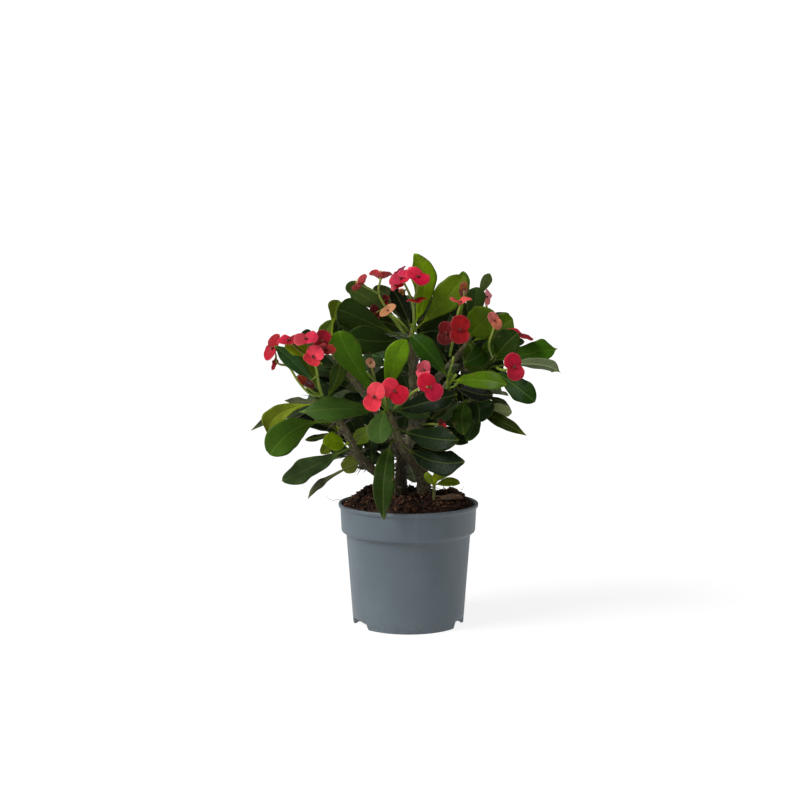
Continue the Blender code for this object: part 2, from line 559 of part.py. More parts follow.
# shoot tips: node, bud axis, its end radii, leaves, colour
SHOOTS = [
    ("shoot_left", [(-66.7, -27.1, 187.7), (-67.3, -27.2, 188.5), (-69.6, -28, 191.9), (-72.4, -29, 196.2)], [2.8, 2.4, 2.0, 1.6], [
        ((-69.5, -28, 191.9), (-59.4, -30, 213.3), (-57.6, -32, 225.9), 14, (-0.01, -0.99, -0.11), 0.62, 0.08, 12, 0),
        ((-70.3, -28.3, 193), (-101.8, -12, 185), (-129.3, -46, 170.5), 10, (-0.39, 0.86, 0.33), 0.7, 0.08, 8, 0),
        ((-70.7, -28.4, 193.6), (-89, -13, 191), (-104.5, -14, 192.4), 11, (-0.2, -0.38, 0.9), 0.6, 0.08, 10, 0),
        ((-71.9, -28.8, 195.4), (-84.7, -35, 226.9), (-99.7, -32, 241.6), 17, (0.11, -0.99, -0), 0.62, 0.08, 8, 0),
        ((-71.1, -28.5, 194.2), (-84.2, 6, 232.3), (-86.9, 10, 251.8), 14, (-0.05, -0.84, 0.55), 0.62, 0.08, 8, 0),
    ], "leaf_green"),
    ("shoot_left_low", [(-56.9, -17, 158.4), (-58.1, -17, 162.6), (-58.6, -16, 167.6)], [1.3, 1.15, 1.0], [
        ((-57.3, -17, 159.9), (-65.9, -22, 155.6), (-73.4, -24, 148.2), 10, (0.23, -0.94, 0.25), 0.62, 0.08, 8, 0),
        ((-58.5, -16.2, 166.6), (-74.5, -18, 161.9), (-87, -20, 159.6), 6, (0.01, -0.89, 0.45), 0.6, 0.08, 10, 0),
        ((-58.5, -16.2, 166.6), (-69.4, -18, 174.6), (-79.4, -20, 175.6), 6, (0.36, -0.79, 0.5), 0.6, 0.08, 10, 0),
    ], "leaf_green"),
    ("shoot_right_front", [(32.8, -11.2, 206.5), (33.3, -11.7, 207.4), (34.2, -12.5, 208.7), (34.9, -14, 211.8)], [2.6, 2.23, 1.87, 1.5], [
        ((33.5, -11.9, 207.8), (54.5, -26, 199.7), (70.1, -30, 198.8), 14, (-0.25, -0.79, 0.56), 0.6, 0.08, 8, 0),
        ((33.5, -11.9, 207.8), (32.1, -24, 190.3), (17.8, -30, 178.3), 9, (0.15, -0.88, 0.46), 0.6, 0.08, 30, 0),
    ], "leaf_green"),
    ("shoot_right_top", [(49.2, 12.9, 236.7), (49.8, 12.8, 237.5), (51.4, 14, 240.5), (54, 15, 244.8)], [2.6, 2.27, 1.93, 1.6], [
        ((53.5, 14.8, 243.9), (57.1, 10, 273.2), (57.7, 8, 287.7), 17, (-0.07, -0.99, -0.15), 0.62, 0.08, 10, 0),
        ((53.5, 14.8, 243.9), (61.1, 20, 279.1), (70.4, 20, 299.3), 11, (0.45, -0.89, -0.05), 0.72, 0.4, 20, 0),
        ((50.1, 13, 237.9), (77.9, 12, 253.5), (89.5, 8, 260.4), 20, (-0.21, -0.97, 0.15), 0.62, 0.08, 10, 0),
        ((51.5, 14, 240.7), (62.5, -2, 232.7), (47.5, -14, 224.9), 20, (0.7, -0.43, 0.58), 0.6, 0.08, 8, 0),
        ((51.9, 14.2, 241.2), (56, 2, 229.1), (64.4, 0, 215.5), 24, (-0.06, -0.89, 0.46), 0.6, 0.08, 8, 0),
    ], "leaf_green"),
    ("shoot_right_low", [(53.3, 19, 188.3), (54.3, 18.9, 188.7), (56.3, 20, 188.9), (59, 21, 189.3)], [2.4, 2.1, 1.8, 1.5], [
        ((55.6, 19.6, 188.9), (56.5, 6, 173.8), (49.9, -6, 157), 14, (0.02, -0.78, 0.62), 0.66, 0.08, 8, 0),
        ((54.8, 19.1, 188.8), (59, -8, 187.2), (59.6, -14, 174.1), 26, (-0.33, -0.42, 0.84), 0.6, 0.08, 8, 0),
        ((55.4, 19.5, 188.8), (76.2, 6, 182.4), (88.7, 2, 181.5), 13, (0.49, 0.81, 0.33), 0.62, 0.08, 14, 0),
        ((56.5, 20.1, 189), (74, 12, 191.4), (88.4, 8, 182.2), 8, (0.04, -0.41, 0.91), 0.6, 0.08, 8, 0),
    ], "leaf_green"),
    ("shoot_upper_left", [(-62.4, 7.9, 227.5), (-63, 7.7, 228.3), (-64.1, 7, 230.1), (-65.3, 6, 234)], [2.4, 2.1, 1.8, 1.5], [
        ((-64.5, 6.7, 231.4), (-64.1, 0, 256.4), (-59.1, -4, 276.8), 15, (0.02, -0.97, -0.23), 0.8, 0.35, 16, 0),
        ((-64.2, 7, 230.2), (-71.3, 6, 244.3), (-64.3, 4, 259.7), 14, (0.06, -0.99, -0.1), 0.6, 0.08, 10, 0),
        ((-63.3, 7.5, 228.7), (-54.4, 10, 240.7), (-57.8, 12, 255.2), 16, (0.07, -0.99, 0.15), 0.6, 0.08, 10, 0),
    ], "leaf_yellow"),
    ("shoot_crown", [(2.2, 2.9, 244.9), (2.2, 2.8, 246), (2.7, 4, 247.8), (3.1, 5, 252)], [2.6, 2.27, 1.93, 1.6], [
        ((2.7, 4.1, 248.4), (-35.2, 4, 278.4), (-52.2, 2, 283.5), 19, (0.15, -0.97, 0.18), 0.66, 0.08, 8, 0),
        ((3, 4.8, 251), (-5.4, 12, 271.5), (-14, 14, 286.8), 15, (-0.09, -0.97, 0.21), 0.6, 0.08, 10, 0),
        ((3, 4.8, 251), (-14.9, 22, 275.6), (-30.6, 26, 286.8), 15, (-0.26, -0.92, 0.3), 0.62, 0.08, 10, 0),
        ((3, 4.8, 251), (20.3, 12, 259.5), (34, 12, 270.6), 18, (0.14, -0.98, 0.13), 0.62, 0.08, 10, 0),
        ((2.7, 4, 247.9), (-17.4, 6, 257.1), (-34.5, 6, 258.8), 20, (-0.04, -1, 0.04), 0.62, 0.08, 10, 0),
    ], "leaf_green"),
    ("shoot_young", [(21.4, -25, 98), (21.4, -25, 117.9), (21.8, -27, 123.3)], [1.5, 1.3, 1.1], [
        ((21.6, -26.1, 120.8), (23.7, -30, 129.7), (34.5, -32, 132.5), 8, (-0.33, -0.94, -0.11), 0.6, 0.08, 10, 0),
        ((21.7, -26.7, 122.4), (33.8, -30, 125.4), (42.9, -32, 124.5), 8, (-0.26, -0.85, 0.46), 0.5, 0.08, 10, 0),
        ((21.6, -26.4, 121.6), (17, -32, 128.3), (15.3, -34, 134.4), 7, (0.26, -0.88, -0.4), 0.6, 0.08, 10, 0),
        ((21.7, -26.7, 122.4), (22.8, -34, 130.2), (31.1, -34, 135.3), 7, (-0.35, -0.9, -0.26), 0.6, 0.08, 10, 0),
    ], "leaf_yellow"),
]

# leafy tips at the back and inside, grown by the golden angle: node, bud axis,
# radii, direction, leaf count, leaf length and width, first angle, colour
WHORLS = [
    ("shoot_rear_left", [(-33, 37.2, 188.8), (-33.6, 37.7, 190), (-36.5, 40, 196)], [2.6, 2.6, 1.6], (-0.5, 0.6, 0.5), 8, 50, 21, 0.3, "leaf_dark"),
    ("shoot_rear_right", [(42.6, 38.2, 199.4), (43.3, 38.5, 200.5), (46.7, 40.5, 206.3)], [2.6, 2.6, 1.6], (0.5, 0.6, 0.5), 8, 50, 21, 1.4, "leaf_dark"),
    ("shoot_rear_top", [(10.4, 27.4, 239.5), (10.7, 28.3, 240.5), (12.1, 32.9, 245.6)], [2.6, 2.6, 1.6], (0.05, 0.65, 0.75), 8, 48, 20, 2.2, "leaf_dark"),
    ("shoot_rear_low", [(-7.2, 36.4, 144.4), (-7.2, 37.5, 145.4), (-7.2, 42.6, 150.1)], [2.6, 2.6, 1.6], (0, 0.92, 0.25), 7, 46, 19, 0.9, "leaf_dark"),
    ("shoot_inner", [(-11.2, 8, 215.3), (-11.7, 7, 216.9), (-13.7, 3.5, 222.7)], [2.0, 2, 1.2], (-0.25, -0.45, 0.75), 5, 34, 16, 0.5, "leaf_dark"),
]

# inflorescences: node, stalks, flowers (centre, face, bract axis, bract length
# and width, cup, share of the second bract, foot of its own stalk)
INFLORESCENCES = [
    ("flowers_top_left", [
        ([(-2.9, -8, 248.2), (-8.8, -6, 254.9), (-15.6, -6, 265), (-24.9, -6, 281.8), (-23.6, -5, 294.4)], [1.1, 1, 1, 1, 1]),
        ([(-24.9, -6, 281.8), (-32.4, -8, 286), (-37.8, -10, 288.5)], [1, 1, 1]),
        ([(-2.9, -8, 248.2), (-8.8, -12, 257.6), (-14.7, -14, 265.2)], [1, 1, 1]),
    ], [
        ((-40.3, -10, 289.8), (-0.62, 0.42, 0.66), (0.59, -0.3, 0.75), 9.5, 12, 16, 0.85, (-37.8, -10, 288.5)),
        ((-23.7, 4, 296.6), (0.05, 0.48, 0.87), (0.99, 0.08, -0.1), 10, 12.5, 20, 1.0, (-23.6, -5, 294.4)),
        ((-19.9, 2, 276.7), (0.23, -0.91, 0.34), (0.31, 0.4, 0.86), 5, 7, 8, 1.0, (-21.5, -6, 275.8)),
        ((-17.2, -14, 268.1), (-0.44, -0.82, 0.38), (0.83, -0.2, 0.52), 8, 8, 8, 1.0, (-14.7, -14, 265.2)),
        ((-29.2, -2, 264.9), (0.31, -0.94, 0.1), (-0, 0.11, 0.99), 8, 9, 10, 1.0, (-18.7, -6, 270.7)),
    ]),
    ("flowers_top_centre", [
        ([(4.7, -5, 251.5), (4.7, -8, 263.4), (3.8, -10, 272.6), (0.4, -11, 282.7), (-4.6, -12, 292.7)], [1.3, 1.3, 1.2, 1.1, 1]),
        ([(3.8, -10, 272.6), (6.3, -13, 282.7), (7.9, -15, 292.7)], [1.1, 1.1, 1]),
    ], [
        ((-6.3, -14, 294), (-0.32, -0.53, 0.79), (0.95, -0.11, 0.31), 10.5, 17, 12, 1.0, (-4.6, -12, 292.7)),
        ((7.4, -20, 296), (0.15, -0.72, 0.68), (0.72, -0.39, -0.57), 10.5, 15.5, 6, 1.0, (7.9, -15, 292.7)),
        ((0.4, -10, 299), (-0.1, -0.5, 0.86), (0.97, 0.16, 0.21), 9.5, 14, 10, 1.0, (-4.6, -12, 292.7)),
        ((-8, -2, 299.9), (-0.45, -0.36, 0.81), (0.68, 0.45, 0.58), 8, 8, 8, 0.7, (-4.6, -12, 292.7)),
        ((-9.7, -10, 288.1), (-0.33, -0.67, 0.67), (0.91, -0.03, 0.42), 7, 8, 8, 0.8, (-3.7, -11.8, 290.9)),
        ((-5.9, -4, 284.3), (0.24, -0.84, 0.48), (0.47, -0.33, -0.82), 4, 5, 10, 0.6, (-1.2, -11.3, 285.9)),
        ((7.1, -14, 275.6), (0, -0.33, 0.94), (0.93, 0.36, 0.13), 9, 9, 16, 1.0, (4.8, -11.3, 277)),
    ]),
    ("flowers_right_upper", [
        ([(35.6, 4, 229), (38.4, -8, 246.5), (40.5, -18, 261.9), (42.7, -23, 272)], [1.2, 1.1, 1.1, 1]),
    ], [
        ((43.1, -24, 274.5), (0.05, -0.29, 0.96), (0.99, 0.16, -0), 10, 12, 26, 1.0, (42.7, -23, 272)),
        ((46.6, -10, 286), (-0.53, -0.84, 0.11), (0.17, 0.01, 0.98), 6.5, 8, 12, 1.0, (42.7, -23, 272)),
        ((42.8, -22, 252.4), (0.02, -0.99, 0.12), (0.04, 0.12, 0.99), 12, 16.5, 5, 1.0, (39.9, -15, 257.4)),
        ((31.5, -14, 249.2), (-0.2, -0.98, 0.1), (0.18, 0.06, 0.98), 10, 14, 6, 1.0, (39, -10.6, 250.5)),
    ]),
    ("flowers_right_back", [
        ([(68.8, 15, 223.2), (78.9, 12, 235.4), (86.7, 4, 242.6), (92.2, -1, 247.9)], [1.2, 1.1, 1, 1]),
        ([(70.8, 14.4, 225.6), (71.8, 22, 237.6), (70.4, 28, 254.7), (67.7, 28, 273.8)], [1.1, 1.1, 1, 1]),
        ([(72, 14, 227.1), (67.6, -14, 239.2), (71, -24, 253.8)], [1.05, 1, 1]),
    ], [
        ((68.1, 28, 279), (0.78, -0.59, 0.2), (0.12, 0.46, 0.88), 7.5, 10, 8, 1.0, (67.7, 28, 273.8)),
        ((71.2, -26, 259.6), (0.32, -0.89, 0.32), (0.46, -0.15, -0.88), 8, 10, 8, 1.0, (71, -24, 253.8)),
        ((93.6, -9, 247.4), (0.35, -0.3, 0.89), (0.87, -0.26, -0.42), 12, 14, 6, 1.0, (92.2, -1, 247.9)),
    ]),
    ("flowers_right", [
        ([(74.8, -10, 219.6), (78.4, -28, 219), (84.3, -46, 221)], [1.1, 1.1, 1]),
    ], [
        ((85.6, -50, 222.9), (0.05, -0.99, 0.1), (0.25, -0.08, -0.96), 11.5, 14.5, 5, 1.0, (84.3, -46, 221)),
    ]),
    ("flowers_left", [
        ([(-70.1, -34, 193.7), (-73.5, -44, 207.8), (-74.8, -54, 220.7), (-76.9, -64, 230.2)], [1.2, 1.2, 1.1, 1]),
        ([(-71.5, -37.5, 198.2), (-81, -42, 200.2), (-90.9, -41, 210.8), (-98.6, -37, 222.1), (-106.2, -34, 224), (-109.5, -34, 226.5)], [1.1, 1, 1, 1, 0.9, 0.9]),
    ], [
        ((-111.7, -40, 237.9), (-0.71, -0.61, 0.35), (0.47, -0.04, 0.88), 12.5, 16, 6, 0.9, (-109.5, -34, 226.5)),
        ((-96.4, -60, 244.5), (-0.16, -0.52, 0.84), (0.98, -0.17, 0.07), 10, 13, 10, 1.0, (-76.9, -64, 230.2)),
        ((-82.3, -66, 245.9), (-0.11, -0.59, 0.8), (0.99, 0.01, 0.14), 10, 15.5, 8, 1.0, (-76.9, -64, 230.2)),
        ((-70.5, -50, 244), (0.29, -0.93, 0.23), (0.28, 0.31, 0.91), 9.5, 13, 8, 1.0, (-76.7, -62.9, 229.1)),
        ((-66.7, -59.5, 237.2), (0.05, -0.65, 0.76), (0.99, -0.07, -0.13), 8, 12, 8, 1.0, (-76.9, -64, 230.2)),
        ((-76.2, -69, 232.1), (-0.15, -0.98, 0.1), (0.47, 0.02, 0.88), 9.5, 15, 5, 0.72, (-76.9, -64, 230.2)),
        ((-111.2, -34, 225.2), (0.93, -0.36, 0.05), (0.2, 0.62, 0.76), 7.5, 7, 2, 0.9, (-109.5, -34, 226.5)),
        ((-83.2, -57, 210.4), (0.11, -0.84, 0.53), (0.81, -0.23, -0.54), 8.5, 7, 16, 1.0, (-74.4, -50.6, 216.2)),
    ]),
    ("flowers_centre", [
        ([(-18.9, -18, 187.2), (-19.5, -40, 195.1), (-19.3, -54, 201.2)], [1.2, 1.1, 1]),
        ([(-18.9, -18, 187.2), (-26.4, -22, 205.2), (-31.2, -28, 223.2)], [1, 1, 1]),
    ], [
        ((-27.7, -60, 199.3), (-0.15, -0.98, 0.1), (0.31, 0.05, 0.95), 12, 15, 5, 1.0, (-19.3, -54, 201.2)),
        ((-11.6, -56, 203.4), (0.19, -0.95, 0.24), (0.79, 0, -0.62), 12, 17, 6, 1.0, (-19.3, -54, 201.2)),
        ((-31.1, -34, 225.2), (-0.51, -0.77, 0.38), (0.52, -0.63, -0.57), 5.5, 7, 10, 1.0, (-31.2, -28, 223.2)),
    ]),
    ("flowers_centre_right", [
        ([(-12.2, -16, 186.2), (-5.5, -36, 193.1), (2.6, -48, 201.5), (9.9, -52, 205.9), (14.8, -54, 206.9)], [1.2, 1.1, 1, 1, 1]),
    ], [
        ((17.2, -54, 206.9), (0.1, -0.99, 0.1), (0.62, -0.02, -0.79), 12.5, 15.5, 5, 1.0, (14.8, -54, 206.9)),
        ((12.4, -46, 220.2), (-0.33, -0.83, 0.44), (0.11, 0.43, 0.89), 8, 12, 8, 1.0, (12.3, -53, 206.4)),
    ]),
    ("flowers_low_right_buds", [
        ([(10.9, 6, 170.3), (20, -8, 171.8), (26.6, -16, 171.8)], [1, 1, 1]),
    ], [
        ((27.6, -36, 174), (0.21, -0.93, 0.31), (0.33, -0.23, -0.91), 5, 6, 14, 1.0, (26.6, -16, 171.8)),
    ]),
]

# inflorescences at the back: node, stalk, radii, fork, direction, flowers, reach, start
FANS = [
    ("flowers_rear_left", [(-59.9, 36, 220.2), (-62.1, 46, 232), (-60.5, 50, 243.4)], [1.2, 1.2, 1.2], (-60.5, 50, 243.4), (-0.3, 0.6, 0.75), 3, 9, 0.4),
    ("flowers_rear_right", [(51.9, 56, 217.2), (59.4, 62, 231.3), (63, 64, 243.8)], [1.2, 1.2, 1.2], (63, 64, 243.8), (0.35, 0.6, 0.7), 3, 9, 1.3),
]

make_pot()
make_soil(SOCKETS)
make_bark_chip(*CHIP)
for name, limbs in STEMS.items():
    pieces = [limb(name if i == 0 else f"{name}_branch_{i}", pts, radii)
              for i, (pts, radii) in enumerate(limbs)]
    finish(union(pieces), "stem_bark")
for row in LEAVES:
    leaf(*row)
for name, hub, radii, rows, kind in SHOOTS:
    shoot(name, hub, radii, rows, kind)
for row in WHORLS:
    whorl(*row)
for name, stalks, flowers in INFLORESCENCES:
    inflorescence(name, stalks, flowers)
for row in FANS:
    fan(*row)
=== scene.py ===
"""Looks of the potted crown-of-thorns: every CAD node gets a fine piece in its place.

Lengths are in millimetres until a mesh is made; +Z is up, the pot's axis is Z.
"""
import math
import bpy
import bmesh
import numpy as np
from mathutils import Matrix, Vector, noise


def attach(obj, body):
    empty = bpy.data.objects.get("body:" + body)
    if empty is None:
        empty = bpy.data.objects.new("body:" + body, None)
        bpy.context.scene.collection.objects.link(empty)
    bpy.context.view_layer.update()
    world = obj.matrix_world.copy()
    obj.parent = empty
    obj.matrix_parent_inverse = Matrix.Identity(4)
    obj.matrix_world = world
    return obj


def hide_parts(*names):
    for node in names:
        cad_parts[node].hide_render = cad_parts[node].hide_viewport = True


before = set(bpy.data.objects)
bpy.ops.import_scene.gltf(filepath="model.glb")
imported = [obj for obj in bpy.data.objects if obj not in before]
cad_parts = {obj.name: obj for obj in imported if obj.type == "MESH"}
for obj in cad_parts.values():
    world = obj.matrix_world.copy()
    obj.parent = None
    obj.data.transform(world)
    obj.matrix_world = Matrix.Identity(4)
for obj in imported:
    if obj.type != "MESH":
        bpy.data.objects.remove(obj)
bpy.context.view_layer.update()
MM = 0.001
GOLDEN = math.radians(137.508)

# pot and soil, as in the CAD model
RIM_R, RIM_Z, LIP_H = 60.0, 103.5, 3.0
COLLAR_TOP_R, COLLAR_LOW_R, COLLAR_LOW_Z = 58.4, 57.4, 79.5
BODY_TOP_R, BODY_TOP_Z, FOOT_R = 53.4, 76.5, 47.6
WALL, BASE_Z, BASE_T = 1.5, 3.6, 1.6
SOIL_EDGE_Z, SOIL_CROWN = 102.0, 8.0

scene = bpy.context.scene
home = bpy.data.collections.new("looks")
scene.collection.children.link(home)


# ------------------------------------------------------------------ helpers
def unit(v):
    v = np.asarray(v, float)
    return v / max(np.linalg.norm(v), 1e-9)


def rgb(code):
    out = []
    for i in (1, 3, 5):
        c = int(code[i:i + 2], 16) / 255
        out.append(c / 12.92 if c <= 0.04045 else ((c + 0.055) / 1.055) ** 2.4)
    return np.array(out)


def smooth(a, b, x):
    t = np.clip((np.asarray(x, float) - a) / (b - a), 0, 1)
    return t * t * (3 - 2 * t)


def rnd(*keys):
    """a repeatable number between 0 and 1"""
    h = 0.0
    for i, k in enumerate(keys):
        h += (i + 1) * 12.9898 * float(k) + 4.1414 * i
    return (math.sin(h) * 43758.5453) % 1.0


def name_seed(name):
    return (sum((i + 3) * ord(c) for i, c in enumerate(name)) % 997) / 997


def n3(p, scale, seed=0.0):
    return noise.noise(Vector((p[0] * scale + seed * 37.1, p[1] * scale - seed * 11.7,
                               p[2] * scale + seed * 5.3)))


def catmull(points, radii, step):
    """a smooth path through the points, with its radius, at about this spacing"""
    pts = [np.asarray(p, float) for p in points]
    ext = [2 * pts[0] - pts[1]] + pts + [2 * pts[-1] - pts[-2]]
    rad = [radii[0]] + list(radii) + [radii[-1]]
    out, rr = [], []
    for i in range(1, len(ext) - 2):
        a, b, c, d = ext[i - 1:i + 3]
        n = max(2, int(np.linalg.norm(c - b) / step))
        for k in range(n):
            t = k / n
            out.append(0.5 * (2 * b + (c - a) * t + (2 * a - 5 * b + 4 * c - d) * t * t
                              + (3 * b - a - 3 * c + d) * t ** 3))
            rr.append(rad[i] + (rad[i + 1] - rad[i]) * t)
    out.append(pts[-1])
    rr.append(rad[-1])
    return np.array(out), np.array(rr)


def frames(path):
    """directions along the path and two sides, turned as little as possible"""
    d = np.gradient(path, axis=0)
    d /= np.maximum(np.linalg.norm(d, axis=1)[:, None], 1e-9)
    e = unit(np.cross(d[0], (0.31, 0.17, 0.93)))
    e1 = []
    for t in d:
        e = unit(e - (e @ t) * t)
        e1.append(e)
    e1 = np.array(e1)
    return d, e1, np.cross(d, e1)


class Skin:
    """gathers lofted surfaces into one mesh, with what the materials read"""
    FACTS = ("s", "x", "u", "v", "under", "seed")

    def __init__(self):
        self.co, self.quads, self.tris = [], [], []
        self.quv, self.tuv, self.qm, self.tm = [], [], [], []
        self.qc, self.tc = [], []
        self.fact = {k: [] for k in self.FACTS}
        self.tint = []
        self.count = 0
        self.cells = 0

    def loft(self, rings, tint, mat=0, closed=True, caps=True, **facts):
        rings = np.asarray(rings, float)
        m, k = rings.shape[:2]
        idx = self.count + np.arange(m * k).reshape(m, k)
        cols = k if closed else k - 1
        i, j = np.meshgrid(np.arange(m - 1), np.arange(cols), indexing="ij")
        i, j = i.ravel(), j.ravel()
        jn = (j + 1) % k
        quad = np.stack([idx[i, j], idx[i, jn], idx[i + 1, jn], idx[i + 1, j]], 1)
        uvq = np.stack([np.stack([j / cols, i / (m - 1)], 1),
                        np.stack([(j + 1) / cols, i / (m - 1)], 1),
                        np.stack([(j + 1) / cols, (i + 1) / (m - 1)], 1),
                        np.stack([j / cols, (i + 1) / (m - 1)], 1)], 1)
        co = rings.reshape(-1, 3)
        tint = np.broadcast_to(np.asarray(tint, float), (m, k, 3)).reshape(-1, 3)
        extra, tri, uvt = [], [], []
        ends = {}
        for kk in self.FACTS:
            val = np.broadcast_to(np.asarray(facts.get(kk, 0.0), float), (m, k))
            self.fact[kk].append(val.ravel())
            ends[kk] = (val[0].mean(), val[-1].mean())
        if caps:
            for e, row in enumerate((0, m - 1)):
                c = self.count + m * k + e
                extra.append(rings[row].mean(0))
                for q in range(k):
                    a, b = idx[row, q], idx[row, (q + 1) % k]
                    tri.append((b, a, c) if e == 0 else (a, b, c))
                    h = e * 1.0
                    uvt.append(((q + (1 - e)) / k, h) and
                               [((q + 1) / k, h), (q / k, h), ((q + .5) / k, h)]
                               if e == 0 else
                               [(q / k, h), ((q + 1) / k, h), ((q + .5) / k, h)])
            for kk in self.FACTS:
                self.fact[kk].append(np.array(ends[kk]))
            co = np.vstack([co, extra])
            tint = np.vstack([tint, tint[0:k].mean(0), tint[-k:].mean(0)])
        # outside faces out
        ref = co[quad[:, 0] - self.count].mean(0)
        a, b, c, d = (co[quad[:, q] - self.count] - ref for q in range(4))
        vol = (np.einsum("ij,ij->i", a, np.cross(b, c)) + np.einsum("ij,ij->i", a, np.cross(c, d))).sum()
        if vol < 0 and closed:
            quad, uvq = quad[:, ::-1], uvq[:, ::-1]
            tri = [t[::-1] for t in tri]
            uvt = [t[::-1] for t in uvt]
        self.co.append(co)
        self.tint.append(tint)
        self.quads.append(quad)
        self.quv.append(uvq)
        self.qm.append(np.full(len(quad), mat))
        self.qc.append(np.full(len(quad), self.cells))
        if tri:
            self.tris.append(np.array(tri))
            self.tuv.append(np.array(uvt, float))
            self.tm.append(np.full(len(tri), mat))
            self.tc.append(np.full(len(tri), self.cells))
        self.count += len(co)
        self.cells += 1

    def bits(self, co, tris, tint, mat=0, seed=0.0):
        """a small closed lump given by its triangles"""
        co = np.asarray(co, float)
        tris = np.asarray(tris) + self.count
        self.co.append(co)
        self.tint.append(np.broadcast_to(np.asarray(tint, float), (len(co), 3)))
        for kk in self.FACTS:
            self.fact[kk].append(np.full(len(co), seed if kk == "seed" else 0.0))
        self.tris.append(tris)
        self.tuv.append(None)
        self.tm.append(np.full(len(tris), mat))
        self.tc.append(np.full(len(tris), self.cells))
        self.count += len(co)
        self.cells += 1

    def make(self, name, mats, slot, nodes=(), body="root"):
        co = np.vstack(self.co) * MM
        quads = np.vstack(self.quads) if self.quads else np.zeros((0, 4), int)
        tris = np.vstack(self.tris) if self.tris else np.zeros((0, 3), int)
        mesh = bpy.data.meshes.new(name)
        mesh.vertices.add(len(co))
        mesh.vertices.foreach_set("co", co.ravel())
        nq, nt = len(quads), len(tris)
        mesh.loops.add(nq * 4 + nt * 3)
        mesh.polygons.add(nq + nt)
        mesh.loops.foreach_set("vertex_index", np.concatenate([quads.ravel(), tris.ravel()]).astype(np.int32))
        start = np.concatenate([np.arange(nq) * 4, nq * 4 + np.arange(nt) * 3]).astype(np.int32)
        mesh.polygons.foreach_set("loop_start", start)
        mesh.polygons.foreach_set("material_index", np.concatenate(self.qm + self.tm).astype(np.int32))
        mesh.update(calc_edges=True)
        mesh.validate()
        mesh.shade_smooth()
        for kk in self.FACTS:
            a = mesh.attributes.new("f_" + kk, "FLOAT", "POINT")
            a.data.foreach_set("value", np.concatenate(self.fact[kk]).astype(np.float32))
        a = mesh.attributes.new("f_tint", "FLOAT_COLOR", "POINT")
        tint = np.vstack(self.tint)
        a.data.foreach_set("color", np.column_stack([tint, np.ones(len(tint))]).astype(np.float32).ravel())
        if all(t is not None for t in self.tuv) and len(mesh.loops) == nq * 4 + nt * 3:
            n = max(1, math.ceil(math.sqrt(self.cells)))
            rows = math.ceil(self.cells / n)
            parts = []
            for uv, cell in ([(np.vstack(self.quv), np.concatenate(self.qc))] if nq else []) + \
                            ([(np.vstack(self.tuv), np.concatenate(self.tc))] if nt else []):
                cell = cell[:, None]
                x = (cell % n + 0.03 + 0.94 * uv[..., 0]) / n
                y = (cell // n + 0.03 + 0.94 * uv[..., 1]) / rows
                parts.append(np.stack([x, y], -1).reshape(-1, 2))
            layer = mesh.uv_layers.new(name="OFBake")
            layer.data.foreach_set("uv", np.vstack(parts).astype(np.float32).ravel())
        for mat in mats:
            mesh.materials.append(mat)
        obj = bpy.data.objects.new(name, mesh)
        home.objects.link(obj)
        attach(obj, body)
        if nodes:
            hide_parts(*nodes)
        return obj


